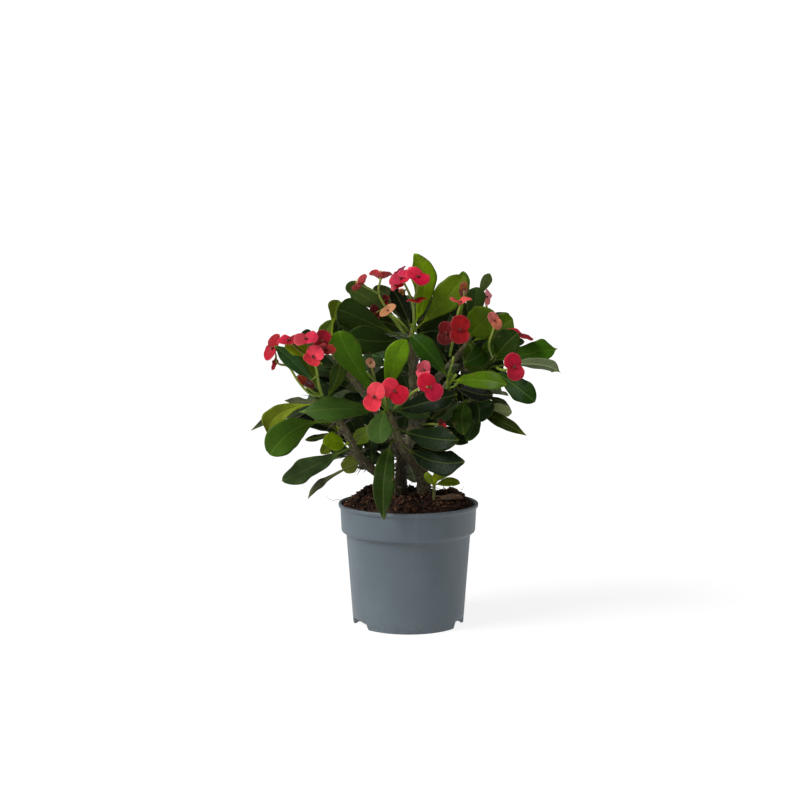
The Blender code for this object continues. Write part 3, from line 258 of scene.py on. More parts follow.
# ---------------------------------------------------------------- materials
class Graph:
    """short words for building a node tree"""

    def __init__(self, name):
        self.mat = bpy.data.materials.new(name)
        self.mat.use_nodes = True
        self.t = self.mat.node_tree
        self.p = self.t.nodes["Principled BSDF"]
        self._obj = None

    def node(self, kind, **kw):
        n = self.t.nodes.new(kind)
        for k, v in kw.items():
            setattr(n, k, v)
        return n

    def put(self, sock, val):
        if hasattr(val, "is_output"):
            self.t.links.new(val, sock)
        elif isinstance(val, (tuple, list, np.ndarray)):
            sock.default_value = (*[float(x) for x in val], 1.0)[:4] if len(sock.default_value) == 4 else [float(x) for x in val]
        else:
            sock.default_value = val

    def fact(self, name, colour=False):
        n = self.node("ShaderNodeAttribute", attribute_name="f_" + name)
        return n.outputs["Color" if colour else "Fac"]

    def math(self, op, a, b=0.0, c=0.0, clamp=False):
        n = self.node("ShaderNodeMath", operation=op, use_clamp=clamp)
        self.put(n.inputs[0], a)
        self.put(n.inputs[1], b)
        self.put(n.inputs[2], c)
        return n.outputs[0]

    def where(self):
        if self._obj is None:
            self._obj = self.node("ShaderNodeTexCoord").outputs["Object"]
        return self._obj

    def noise(self, scale, detail=4.0, rough=0.55, vector=None, distort=0.0):
        n = self.node("ShaderNodeTexNoise")
        self.put(n.inputs["Vector"], vector or self.where())
        n.inputs["Scale"].default_value = scale
        n.inputs["Detail"].default_value = detail
        n.inputs["Roughness"].default_value = rough
        n.inputs["Distortion"].default_value = distort
        return n.outputs["Fac"]

    def voronoi(self, scale, feature="F1", vector=None):
        n = self.node("ShaderNodeTexVoronoi", feature=feature)
        self.put(n.inputs["Vector"], vector or self.where())
        n.inputs["Scale"].default_value = scale
        return n.outputs["Distance"]

    def stretch(self, scale):
        n = self.node("ShaderNodeVectorMath", operation="MULTIPLY")
        self.put(n.inputs[0], self.where())
        n.inputs[1].default_value = scale
        return n.outputs["Vector"]

    def combine(self, x, y, z):
        n = self.node("ShaderNodeCombineXYZ")
        for s, v in zip(n.inputs, (x, y, z)):
            self.put(s, v)
        return n.outputs[0]

    def ramp(self, fac, lo, hi, a=0.0, b=1.0, kind="SMOOTHSTEP"):
        n = self.node("ShaderNodeMapRange", interpolation_type=kind)
        self.put(n.inputs["Value"], fac)
        n.inputs["From Min"].default_value = lo
        n.inputs["From Max"].default_value = hi
        n.inputs["To Min"].default_value = a
        n.inputs["To Max"].default_value = b
        return n.outputs["Result"]

    def mix(self, fac, a, b, blend="MIX"):
        n = self.node("ShaderNodeMix", data_type="RGBA", blend_type=blend)
        n.clamp_factor = True
        self.put(n.inputs["Factor"], fac)
        self.put(n.inputs["A"] if False else n.inputs[6], a)
        self.put(n.inputs[7], b)
        return n.outputs[2]

    def bump(self, height, strength, distance, normal=None):
        n = self.node("ShaderNodeBump")
        self.put(n.inputs["Height"], height)
        n.inputs["Strength"].default_value = strength
        n.inputs["Distance"].default_value = distance
        if normal is not None:
            self.put(n.inputs["Normal"], normal)
        return n.outputs["Normal"]

    def done(self, colour, rough, normal=None, **sockets):
        self.put(self.p.inputs["Base Color"], colour)
        self.put(self.p.inputs["Roughness"], rough)
        if normal is not None:
            self.put(self.p.inputs["Normal"], normal)
        for k, v in sockets.items():
            self.p.inputs[k.replace("_", " ")].default_value = v
        return self.mat


def leaf_material(name, gloss=0.46, veins=1.0, dust=0.0):
    g = Graph(name)
    tint = g.fact("tint", True)
    s, x, u, v = (g.fact(k) for k in ("s", "x", "u", "v"))
    under, seed = g.fact("under"), g.fact("seed")
    ax, av = g.math("ABSOLUTE", x), g.math("ABSOLUTE", v)
    wander = g.noise(120, 2)
    # side veins leave the midrib at an angle and fade before the margin
    t = g.math("ADD", g.math("DIVIDE", g.math("SUBTRACT", s, g.math("MULTIPLY", ax, 0.62)), 4.1),
               g.math("MULTIPLY", wander, 1.1))
    line = g.math("ABSOLUTE", g.math("SUBTRACT", g.math("FRACT", t), 0.5))
    vein = g.ramp(line, 0.0, 0.09, 1.0, 0.0)
    vein = g.math("MULTIPLY", vein, g.ramp(av, 0.72, 0.98, 1.0, 0.0))
    vein = g.math("MULTIPLY", vein, g.ramp(u, 0.12, 0.25, 0.0, 1.0))
    rib = g.ramp(ax, 0.18, 0.62, 1.0, 0.0)
    net = g.voronoi(620, "DISTANCE_TO_EDGE")
    fine = g.ramp(net, 0.0, 0.10, 1.0, 0.0)
    blotch = g.noise(70, 5, 0.6)
    mott = g.noise(420, 4, 0.6)
    # the upper side
    shade = g.ramp(blotch, 0.3, 0.72, 0.80, 1.20, "LINEAR")
    c = g.mix(1.0, tint, g.combine(shade, shade, shade), "MULTIPLY")
    c = g.mix(g.ramp(mott, 0.40, 0.62, 0.0, 0.35), c, g.mix(1.0, c, (0.62, 0.72, 0.55), "MULTIPLY"))
    pale = g.mix(1.0, g.mix(0.5, tint, (0.15, 0.20, 0.035)), (1.25, 1.25, 1.25), "MULTIPLY")
    c = g.mix(g.math("MULTIPLY", vein, 0.07 * veins), c, pale)
    c = g.mix(g.math("MULTIPLY", fine, 0.07 * veins), c, pale)
    c = g.mix(g.math("MULTIPLY", rib, 0.24 * veins), c, g.mix(0.35, pale, (0.24, 0.27, 0.07)))
    margin = g.ramp(av, 0.93, 1.0, 0.0, 1.0)
    c = g.mix(g.math("MULTIPLY", margin, 0.35), c, (0.13, 0.12, 0.03))
    scar = g.ramp(g.math("ADD", g.noise(95, 5, 0.7), g.math("MULTIPLY", av, 0.16)), 0.74, 0.80, 0.0, 1.0)
    c = g.mix(g.math("MULTIPLY", scar, 0.55), c, (0.11, 0.07, 0.025))
    if dust:
        speck = g.ramp(g.noise(1500, 2, 0.5), 0.60, 0.70, 0.0, 1.0)
        film = g.ramp(g.noise(60, 3), 0.45, 0.75, 0.0, 1.0)
        c = g.mix(g.math("MULTIPLY", g.math("ADD", g.math("MULTIPLY", speck, 0.5), film), 0.22 * dust), c, (0.22, 0.20, 0.15))
    # the paler, duller underside with its raised rib
    grey = g.mix(0.62, g.mix(1.0, tint, (1.15, 1.15, 1.1), "MULTIPLY"), (0.115, 0.145, 0.075))
    grey = g.mix(g.math("MULTIPLY", rib, 0.7), grey, (0.27, 0.30, 0.15))
    grey = g.mix(g.math("MULTIPLY", vein, 0.35), grey, (0.19, 0.22, 0.11))
    c = g.mix(under, c, grey)
    rough = g.math("ADD", g.ramp(mott, 0.3, 0.7, gloss - 0.06, gloss + 0.10), g.math("MULTIPLY", under, 0.16))
    h = g.math("SUBTRACT", g.math("MULTIPLY", mott, 0.35), g.math("MULTIPLY", vein, 0.8))
    h = g.math("SUBTRACT", h, g.math("MULTIPLY", fine, 0.25))
    normal = g.bump(h, 0.5, 0.00016)
    return g.done(c, rough, normal, Specular_IOR_Level=0.06)


def bract_material():
    g = Graph("bract_velvet")
    tint = g.fact("tint", True)
    u, v, under, s, x = (g.fact(k) for k in ("u", "v", "under", "s", "x"))
    av = g.math("ABSOLUTE", v)
    # nerves fan out from the foot of the bract
    fan = g.math("DIVIDE", x, g.math("MAXIMUM", s, 0.8))
    nerve = g.math("ABSOLUTE", g.math("SUBTRACT", g.math("FRACT", g.math("ADD", g.math("MULTIPLY", fan, 4.6), g.math("MULTIPLY", g.noise(300, 2), 0.7))), 0.5))
    nerve = g.math("MULTIPLY", g.ramp(nerve, 0.0, 0.13, 1.0, 0.0), g.ramp(u, 0.1, 0.35, 0.0, 1.0))
    blotch = g.noise(210, 4, 0.6)
    shade = g.ramp(blotch, 0.3, 0.7, 0.82, 1.16, "LINEAR")
    c = g.mix(1.0, tint, g.combine(shade, shade, shade), "MULTIPLY")
    # painted sheen: a paler pink margin on each bract
    rim = g.math("MULTIPLY", g.ramp(av, 0.84, 1.0, 0.0, 1.0), g.ramp(u, 0.2, 0.5, 0.0, 1.0))
    c = g.mix(g.math("MULTIPLY", rim, 0.20), c, g.mix(0.6, tint, (0.80, 0.26, 0.26)))
    # painted shade: darker towards the foot of the bract, under the cup and the other bract
    c = g.mix(g.ramp(u, 0.05, 0.36, 0.55, 0.0), c, g.mix(1.0, tint, (0.55, 0.22, 0.28), "MULTIPLY"))
    c = g.mix(g.math("MULTIPLY", nerve, 0.16), c, g.mix(1.0, tint, (0.62, 0.40, 0.48), "MULTIPLY"))
    c = g.mix(g.math("MULTIPLY", under, 0.55), c, g.mix(0.5, tint, (0.62, 0.22, 0.20)))
    fade = g.ramp(g.noise(260, 4, 0.7), 0.66, 0.76, 0.0, 1.0)
    c = g.mix(g.math("MULTIPLY", g.math("MULTIPLY", fade, rim), 0.6), c, (0.42, 0.20, 0.10))
    h = g.math("SUBTRACT", g.math("MULTIPLY", g.noise(1400, 3), 0.4), g.math("MULTIPLY", nerve, 0.8))
    return g.done(c, g.ramp(blotch, 0.3, 0.7, 0.44, 0.60), g.bump(h, 0.45, 0.00012),
                  Specular_IOR_Level=0.14)


def cup_material():
    g = Graph("cyathium_wax")
    tint = g.fact("tint", True)
    n = g.noise(900, 3)
    shade = g.ramp(n, 0.3, 0.7, 0.7, 1.25, "LINEAR")
    c = g.mix(1.0, tint, g.combine(shade, shade, shade), "MULTIPLY")
    return g.done(c, g.ramp(n, 0.3, 0.7, 0.26, 0.42), g.bump(n, 0.4, 0.0001), Specular_IOR_Level=0.5)


def shoot_material():
    """soft green stalks, flushed red in places"""
    g = Graph("soft_stalk")
    tint = g.fact("tint", True)
    n = g.noise(240, 4, 0.6)
    c = g.mix(g.ramp(n, 0.42, 0.66, 0.0, 0.55), tint, g.mix(1.0, tint, (1.30, 0.72, 0.50), "MULTIPLY"))
    streak = g.noise(260, 3, 0.5, g.combine(g.math("MULTIPLY", g.fact("x"), 1.2), g.math("MULTIPLY", g.fact("s"), 0.12), g.fact("seed")))
    c = g.mix(g.ramp(streak, 0.5, 0.7, 0.0, 0.4), c, g.mix(1.0, tint, (0.6, 0.62, 0.5), "MULTIPLY"))
    return g.done(c, g.ramp(n, 0.3, 0.7, 0.42, 0.62), g.bump(streak, 0.35, 0.0002), Specular_IOR_Level=0.35)


def bark_material():
    g = Graph("stem_bark")
    tint = g.fact("tint", True)
    s, x = g.fact("s"), g.fact("x")
    along = g.combine(g.math("MULTIPLY", x, 0.55), g.math("MULTIPLY", s, 0.09), g.fact("seed"))
    crack = g.noise(1.9, 5, 0.65, along, 0.6)
    plate = g.voronoi(0.55, "DISTANCE_TO_EDGE", g.combine(x, g.math("MULTIPLY", s, 0.35), g.fact("seed")))
    grime = g.noise(90, 4, 0.6)
    c = g.mix(g.ramp(crack, 0.38, 0.62, 0.0, 1.0), g.mix(1.0, tint, (0.55, 0.52, 0.47), "MULTIPLY"), g.mix(1.0, tint, (1.28, 1.28, 1.18), "MULTIPLY"))
    c = g.mix(g.ramp(plate, 0.0, 0.07, 0.55, 0.0), c, (0.016, 0.011, 0.008))
    c = g.mix(g.ramp(grime, 0.50, 0.72, 0.0, 0.5), c, (0.16, 0.135, 0.105))
    lichen = g.ramp(g.noise(210, 4, 0.7), 0.62, 0.70, 0.0, 0.4)
    c = g.mix(lichen, c, (0.13, 0.15, 0.085))
    # painted shade: darker and browner towards the soil, where the stems stand in the shade of the crown; greyer and
    # smoother higher up
    z = g.node("ShaderNodeSeparateXYZ")
    g.put(z.inputs[0], g.where())
    low = g.ramp(z.outputs[2], 0.135, 0.166, 0.88, 0.0)
    c = g.mix(low, c, g.mix(1.0, c, (0.30, 0.24, 0.20), "MULTIPLY"))
    h = g.math("ADD", crack, g.ramp(plate, 0.0, 0.12, -0.8, 0.0))
    return g.done(c, g.ramp(crack, 0.3, 0.7, 0.95, 0.72), g.bump(h, 0.8, 0.0006), Specular_IOR_Level=0.2)


def spine_material():
    g = Graph("spine_horn")
    u = g.fact("u")
    n = g.noise(500, 3)
    c = g.mix(u, (0.075, 0.052, 0.038), (0.010, 0.007, 0.006))
    c = g.mix(g.ramp(n, 0.45, 0.7, 0.0, 0.5), c, (0.14, 0.105, 0.08))
    return g.done(c, g.ramp(n, 0.3, 0.7, 0.45, 0.65), g.bump(n, 0.3, 0.0001), Specular_IOR_Level=0.4)


def pot_material():
    g = Graph("pot_blue_grey_plastic")
    grain = g.noise(2600, 3, 0.5)
    cloud = g.noise(16, 4, 0.55)
    wipe = g.noise(30, 4, 0.6, g.stretch((1.0, 1.0, 0.12)))
    scuff = g.noise(420, 4, 0.7, g.stretch((0.25, 0.25, 2.6)), 0.4)
    base = g.mix(g.ramp(cloud, 0.35, 0.65, 0.0, 1.0), POT_DARK, POT_LIGHT)
    base = g.mix(g.ramp(wipe, 0.52, 0.70, 0.0, 0.35), base, POT_WIPE)
    base = g.mix(g.ramp(scuff, 0.66, 0.74, 0.0, 0.22), base, (0.30, 0.33, 0.34))
    z = g.node("ShaderNodeSeparateXYZ")
    g.put(z.inputs[0], g.where())
    zz = z.outputs[2]
    # darker, patchy bands along the lip, the step and the foot
    near = g.math("MAXIMUM", g.ramp(zz, 0.0985, 0.1035, 0.0, 0.55), g.ramp(zz, 0.0, 0.012, 0.45, 0.0))
    step = g.math("MULTIPLY", g.ramp(zz, 0.0745, 0.0768, 0.0, 1.0), g.ramp(zz, 0.0768, 0.0792, 1.0, 0.0))
    near = g.math("MAXIMUM", near, g.math("MULTIPLY", step, 0.55))
    lip_step_foot_dark = g.math("MULTIPLY", near, g.ramp(g.noise(330, 5, 0.7), 0.46, 0.66, 0.0, 1.0))
    base = g.mix(lip_step_foot_dark, base, (0.062, 0.052, 0.044))
    splash = g.ramp(g.voronoi(210), 0.0, 0.085, 1.0, 0.0)
    splash = g.math("MULTIPLY", splash, g.math("MULTIPLY", g.ramp(g.noise(38, 3), 0.56, 0.70, 0.0, 1.0), 0.5))
    base = g.mix(splash, base, (0.26, 0.27, 0.26))
    h = g.math("ADD", g.math("MULTIPLY", grain, 0.7), g.math("MULTIPLY", scuff, 0.25))
    rough = g.ramp(g.math("ADD", cloud, g.math("MULTIPLY", scuff, 0.4)), 0.45, 0.95, 0.42, 0.60)
    return g.done(base, rough, g.bump(h, 0.22, 0.00015), Specular_IOR_Level=0.42)


def soil_material():
    g = Graph("peat")
    crumb = g.voronoi(330)
    n = g.noise(210, 6, 0.65)
    big = g.noise(48, 4, 0.6)
    tint = g.fact("tint", True)
    c = g.mix(g.ramp(n, 0.35, 0.68, 0.0, 1.0), g.mix(1.0, tint, (0.26, 0.24, 0.25), "MULTIPLY"), g.mix(1.0, tint, (1.25, 1.16, 1.08), "MULTIPLY"))
    c = g.mix(g.ramp(big, 0.46, 0.66, 0.0, 0.5), c, (0.040, 0.020, 0.012))
    fleck = g.ramp(g.noise(1250, 3, 0.6), 0.66, 0.72, 0.0, 0.6)
    c = g.mix(fleck, c, (0.15, 0.11, 0.075))
    h = g.math("ADD", n, g.math("MULTIPLY", crumb, 0.9))
    return g.done(c, 0.95, g.bump(h, 0.9, 0.0009), Specular_IOR_Level=0.15)


def wood_material():
    g = Graph("bark_chip_grain")
    grain = g.noise(60, 5, 0.65, g.stretch((1.0, 7.0, 9.0)), 0.8)
    pit = g.voronoi(420)
    c = g.mix(g.ramp(grain, 0.32, 0.66, 0.0, 1.0), (0.055, 0.030, 0.018), (0.235, 0.145, 0.085))
    c = g.mix(g.ramp(g.noise(160, 4), 0.52, 0.70, 0.0, 0.75), c, (0.080, 0.062, 0.048))
    c = g.mix(g.ramp(pit, 0.0, 0.16, 0.6, 0.0), c, (0.022, 0.014, 0.010))
    h = g.math("ADD", grain, g.math("MULTIPLY", pit, 0.5))
    return g.done(c, g.ramp(grain, 0.3, 0.7, 0.92, 0.74), g.bump(h, 0.9, 0.0007), Specular_IOR_Level=0.2)


def crumb_material():
    """loose bits: the colour of each is its own"""
    g = Graph("soil_bits")
    tint = g.fact("tint", True)
    n = g.noise(520, 5, 0.7)
    c = g.mix(g.ramp(n, 0.36, 0.66, 0.0, 1.0), g.mix(1.0, tint, (0.45, 0.42, 0.40), "MULTIPLY"), g.mix(1.0, tint, (1.35, 1.3, 1.25), "MULTIPLY"))
    return g.done(c, 0.92, g.bump(n, 0.8, 0.0005), Specular_IOR_Level=0.15)


POT_DARK, POT_LIGHT, POT_WIPE = rgb("#4b555c"), rgb("#535e65"), rgb("#5e676c")
LEAF = leaf_material("leaf_mature", 0.44)
DUSTY = leaf_material("leaf_dusty", 0.56, 0.9, 0.30)
YOUNG = leaf_material("leaf_young", 0.36, 0.8)
BRACT, CUP, STALK = bract_material(), cup_material(), shoot_material()
BARK, SPINE = bark_material(), spine_material()


# -------------------------------------------------------------------- leaves
def outline(u, peak, stalk, point=0.0):
    """half width of an obovate blade along its length; point draws the tip out"""
    x = np.clip((u - stalk) / (1 - stalk), 0, 1)
    k = math.log(0.5) / math.log(peak)
    w = np.maximum(np.sin(math.pi * x ** k), 0.0) ** 0.62
    return w * (1 - point * smooth(0.72, 1.0, x) * (0.35 + 0.65 * x))


def blade(skin, base, middle, tip, width, face, tint, peak=0.62, stalk=0.08,
          fold=10, twist=0, wave=0.5, seed=0.0, root=None, mat=0, nu=40, half_cols=7,
          stalk_tint=None, stalk_r=0.75, point=0.0):
    """one leaf: a petiole from root, then a blade bent along base, middle, tip,
    with a groove over the midrib, a rib under it and a gently waved margin"""
    base, middle, tip = (np.asarray(p, float) for p in (base, middle, tip))
    control = 2 * middle - 0.5 * (base + tip)
    across = unit(np.cross(unit(tip - base), unit(face)))
    length = np.linalg.norm(middle - base) + np.linalg.norm(tip - middle)
    u = np.linspace(0, 1, nu) ** 0.93
    u[-1] = 1.0
    P = np.outer((1 - u) ** 2, base) + np.outer(2 * u * (1 - u), control) + np.outer(u * u, tip)
    D = np.outer(2 * (1 - u), control - base) + np.outer(2 * u, tip - control)
    D /= np.linalg.norm(D, axis=1)[:, None]
    s0 = 0.0
    if root is not None and np.linalg.norm(base - root) > 0.4:
        root = np.asarray(root, float)
        gap = np.linalg.norm(base - root)
        n = max(3, int(gap / 1.3) + 1)
        c = base - D[0] * gap * 0.45
        t = np.linspace(0, 1, n + 1)[:-1]
        PP = np.outer((1 - t) ** 2, root) + np.outer(2 * t * (1 - t), c) + np.outer(t * t, base)
        DD = np.outer(2 * (1 - t), c - root) + np.outer(2 * t, base - c)
        DD /= np.maximum(np.linalg.norm(DD, axis=1)[:, None], 1e-9)
        P, D = np.vstack([PP, P]), np.vstack([DD, D])
        u = np.concatenate([np.full(n, -1.0) * (1 - t) * 0.001, u])
        s0 = gap
    sv = np.linspace(-1, 1, 2 * half_cols + 1)
    v = np.sign(sv) * np.abs(sv) ** 1.55
    rings, S, X, U, V, UN, T = [], [], [], [], [], [], []
    f, tw = math.radians(fold), math.radians(twist)
    up0 = None
    run = 0.0
    for i, (p, d, ui) in enumerate(zip(P, D, u)):
        if i:
            run += np.linalg.norm(p - P[i - 1])
        uc = max(ui, 0.0)
        side = across - (across @ d) * d
        if np.linalg.norm(side) <= 0.08:
            side = np.cross(d, up0 if up0 is not None else np.asarray(face, float))
        side = unit(side)
        up = np.cross(side, d)
        up0 = up
        a = tw * (uc - 0.5)
        side, up = side * math.cos(a) + up * math.sin(a), up * math.cos(a) - side * math.sin(a)
        w = float(outline(np.array(uc), peak, stalk, point)) * width / 2
        # a little unevenness in the outline, different on the two sides
        sway = 0.035 + 0.055 * max(0.0, wave - 0.5)
        half = np.where(v < 0, 1 + sway * math.sin(14.5 * uc + 6.3 * seed) + 0.02 * math.sin(31 * uc + 9 * seed),
                        1 + sway * math.sin(12.7 * uc + 11.0 * seed + 2.0) + 0.02 * math.sin(27 * uc + 4 * seed)) * w
        pet = stalk_r * (1.0 - 0.12 * uc) * (0.75 + 0.25 * smooth(0.0, 0.12, uc)) * (1 - 0.75 * smooth(0.86, 1.0, uc))
        if root is not None and ui < 0:
            pet = stalk_r * (1.0 + 0.5 * (1 - smooth(0, s0 * 0.8 + 0.01, run)))
        half = np.maximum(half, max(pet, 0.22))
        flat = float(smooth(0.9, 3.4, w))            # 0 round stalk, 1 flat blade
        x = v * half
        r = np.abs(v)
        mid = (x * math.cos(f))
        lift = r ** 1.3 * half * math.sin(f) * flat
        phase = 6.28 * seed
        lift = lift + flat * wave * np.sin(2 * math.pi * 2.2 * uc + phase + np.where(v > 0, 0, 1.7)) * v * v
        lift = lift + flat * 0.30 * wave * np.sin(2 * math.pi * 5.1 * uc + 2.3 * phase + np.where(v > 0, 0.6, 2.9)) * r ** 3
        arc = (run - 0.62 * np.abs(x)) / 4.1
        quilt = 0.06 * flat * np.cos(2 * math.pi * arc) * smooth(0.05, 0.3, r) * (1 - smooth(0.75, 1.0, r))
        droop = -0.035 * flat * (np.abs(x) ** 2) / max(width / 2, 1) * (0.4 + 0.8 * seed)
        th = 0.24 * (1 - 0.45 * r * r)
        th = (1 - flat) * pet * np.sqrt(np.maximum(1 - v * v, 0.0)) + flat * th
        th = np.maximum(th, 0.07)
        groove = 0.30 * flat * (1 - 0.7 * uc) * np.exp(-(x / 0.55) ** 2)
        rib = 0.62 * flat * (1 - 0.85 * uc) * np.exp(-(x / 0.75) ** 2)
        top = lift + quilt + droop + th - groove
        bot = lift + quilt + droop - th - rib
        line_t = p + np.outer(mid, side) + np.outer(top, up)
        line_b = p + np.outer(mid, side) + np.outer(bot, up)
        rings.append(np.vstack([line_t, line_b[::-1]]))
        S.append(np.full(2 * len(v), run))
        X.append(np.concatenate([x, x[::-1]]))
        U.append(np.full(2 * len(v), uc))
        V.append(np.concatenate([v, v[::-1]]) * flat + (1 - flat) * 0.0)
        UN.append(np.concatenate([np.zeros(len(v)), np.ones(len(v))]) * flat)
        base_t = np.asarray(stalk_tint if stalk_tint is not None else tint * np.array((1.25, 1.25, 1.0)) + np.array((0.03, 0.035, 0.0)))
        k = flat * float(smooth(-0.02, 0.25, uc))
        row = base_t * (1 - k) + tint * k
        edge = 1 + 0.10 * np.sin(3.1 * uc + 9 * seed) - 0.05 * r
        T.append(np.outer(np.concatenate([edge, edge[::-1]]), row))
    skin.loft(rings, np.array(T), mat, s=np.array(S), x=np.array(X), u=np.array(U),
              v=np.array(V), under=np.array(UN), seed=seed)


def tube(skin, points, radii, tint, mat=0, step=1.6, sides=10, seed=0.0, lumps=0.0,
         end_round=True, ring_every=0.0):
    path, rr = catmull(points, radii, step)
    d, e1, e2 = frames(path)
    s = np.concatenate([[0], np.cumsum(np.linalg.norm(np.diff(path, axis=0), axis=1))])
    a = np.linspace(0, 2 * math.pi, sides, endpoint=False)
    rings = []
    for i, p in enumerate(path):
        out = np.outer(np.cos(a), e1[i]) + np.outer(np.sin(a), e2[i])
        r = np.full(sides, rr[i])
        if lumps:
            q = p + out * rr[i]
            r = r * (1 + lumps * np.array([n3(x, 0.11, seed) + 0.5 * n3(x, 0.33, seed + 1) for x in q]))
        if ring_every:
            r = r * (1 + 0.06 * max(0.0, math.cos(2 * math.pi * s[i] / ring_every)) ** 6)
        rings.append(p + out * r[:, None])
    rings = list(rings)
    S = list(s)
    if end_round:
        tip = path[-1]
        for k in (0.5, 0.85, 0.98):
            c = math.sqrt(1 - k * k)
            rings.append(tip + d[-1] * rr[-1] * k * 0.8 + (rings[len(path) - 1] - tip) * c)
            S.append(S[-1] + 0.3)
    rings = np.array(rings)
    m = len(rings)
    tint = np.asarray(tint, float)
    if tint.ndim == 2:        # from one colour to another along it
        f = np.linspace(0, 1, m)[:, None, None]
        tint = tint[0] * (1 - f) + tint[1] * f
    skin.loft(rings, tint, mat, s=np.array(S)[:, None], u=np.linspace(0, 1, m)[:, None],
              x=(a * float(np.mean(rr)))[None, :], seed=seed)
    return path, rr, d, e1, e2, s


def spine(skin, foot, aim, length, thick, mat, seed):
    side = unit(np.cross(aim, (0.2, 0.3, 0.9)))
    bend = side * length * 0.10 * (rnd(seed, 3) - 0.5) - np.array((0, 0, 1.0)) * length * 0.05
    pts = [foot - aim * 0.5, foot + aim * length * 0.12, foot + aim * length * 0.45 + bend * 0.3,
           foot + aim * length * 0.8 + bend * 0.8, foot + aim * length + bend * 1.2]
    tube(skin, pts, [thick * 1.7, thick * 1.0, thick * 0.62, thick * 0.3, 0.04], (0.03, 0.02, 0.015),
         mat, 1.4, 7, seed, 0, False)


def spines(skin, ring, start, stop, every, mat, seed, size=1.0, skip=()):
    """stout spines in pairs up a stem, each pair under an old leaf scar"""
    path, rr, d, e1, e2, s = ring
    k, at = 0, start
    while at < min(stop, s[-1] - 2):
        i = int(np.searchsorted(s, at))
        turn = seed * 6.28 + GOLDEN * k
        for half in (-0.42, 0.42):
            a = turn + half + 0.25 * (rnd(seed, k, half) - 0.5)
            out = e1[i] * math.cos(a) + e2[i] * math.sin(a)
            aim = unit(out + d[i] * (0.05 + 0.5 * (rnd(k, seed, half) - 0.4)))
            foot = path[i] + out * rr[i] * 0.9
            if foot[2] > 112:
                spine(skin, foot, aim, (6.5 + 4.5 * rnd(k, half, seed)) * size, 0.62 * size, mat, seed + k)
        k += 1
        at += every * (0.75 + 0.5 * rnd(seed, k))


# ------------------------------------------------------------------- flowers
def bract(skin, centre, along, face, length, width, tint, seed, mat=0, rows=9, around=30):
    """one broad round bract: rings from its middle out to the margin and back
    underneath, cupped a little, creased down the middle, its margin waved"""
    along, face = unit(along), unit(face)
    side = np.cross(along, face)
    th = np.linspace(0, 2 * math.pi, around, endpoint=False)
    ct, st = np.cos(th), np.sin(th)
    # fuller than an ellipse, flattened at its foot, with a small point at the tip
    ex = np.where(ct > 0, ct * (1 + 0.035 * np.exp(-(st / 0.13) ** 2)), ct * 0.92)
    ey = np.sign(st) * np.abs(st) ** 0.86
    rag = 1 + 0.030 * np.sin(3 * th + 6.3 * seed) + 0.016 * np.sin(7 * th + 17 * seed)
    rings, S, X, U, V, UN = [], [], [], [], [], []
    steps = [(k / rows) ** 0.8 for k in range(rows + 1)]
    for under, run in ((0, steps), (1, steps[::-1])):
        for q in run:
            q = max(q, 0.012)
            a = length * (0.47 + 0.53 * ex * q * rag)
            x = ey * q * width / 2 * rag
            u = a / length
            r = np.abs(x) / (width / 2)
            h = (0.75 * r * r - 3.6 * np.maximum(0.0, u - 0.62) ** 1.5
                 + 0.55 * q ** 3 * np.sin(2 * th + 6.28 * seed) + 0.28 * q ** 4 * np.sin(5 * th + 11 * seed)
                 - 0.34 * np.exp(-(x / 0.9) ** 2) * (1 - 0.6 * u))
            t = 0.20 * (1 - 0.7 * q * q) + 0.03
            body = centre + np.outer(a, along) + np.outer(x, side)
            rings.append(body + np.outer(h + (t if not under else -t), face))
            S.append(a)
            X.append(x)
            U.append(u)
            V.append(np.full(around, q))
            UN.append(np.full(around, float(under)))
    skin.loft(rings, tint, mat, s=np.array(S), x=np.array(X), u=np.array(U), v=np.array(V),
              under=np.array(UN), seed=seed)


def lathe(skin, origin, axis, profile, tint, mat, sides=16, squash=None, seed=0.0, tints=None):
    axis = unit(axis)
    e1 = unit(np.cross(axis, (0.3, 0.1, 0.95)))
    e2 = np.cross(axis, e1)
    a = np.linspace(0, 2 * math.pi, sides, endpoint=False)
    rings = [origin + axis * z + np.outer(np.cos(a), e1) * r + np.outer(np.sin(a), e2) * r
             for r, z in profile]
    t = tint if tints is None else np.repeat(np.array(tints)[:, None, :], sides, 1)
    skin.loft(rings, t, mat, seed=seed, u=np.linspace(0, 1, len(rings))[:, None])
    return e1, e2


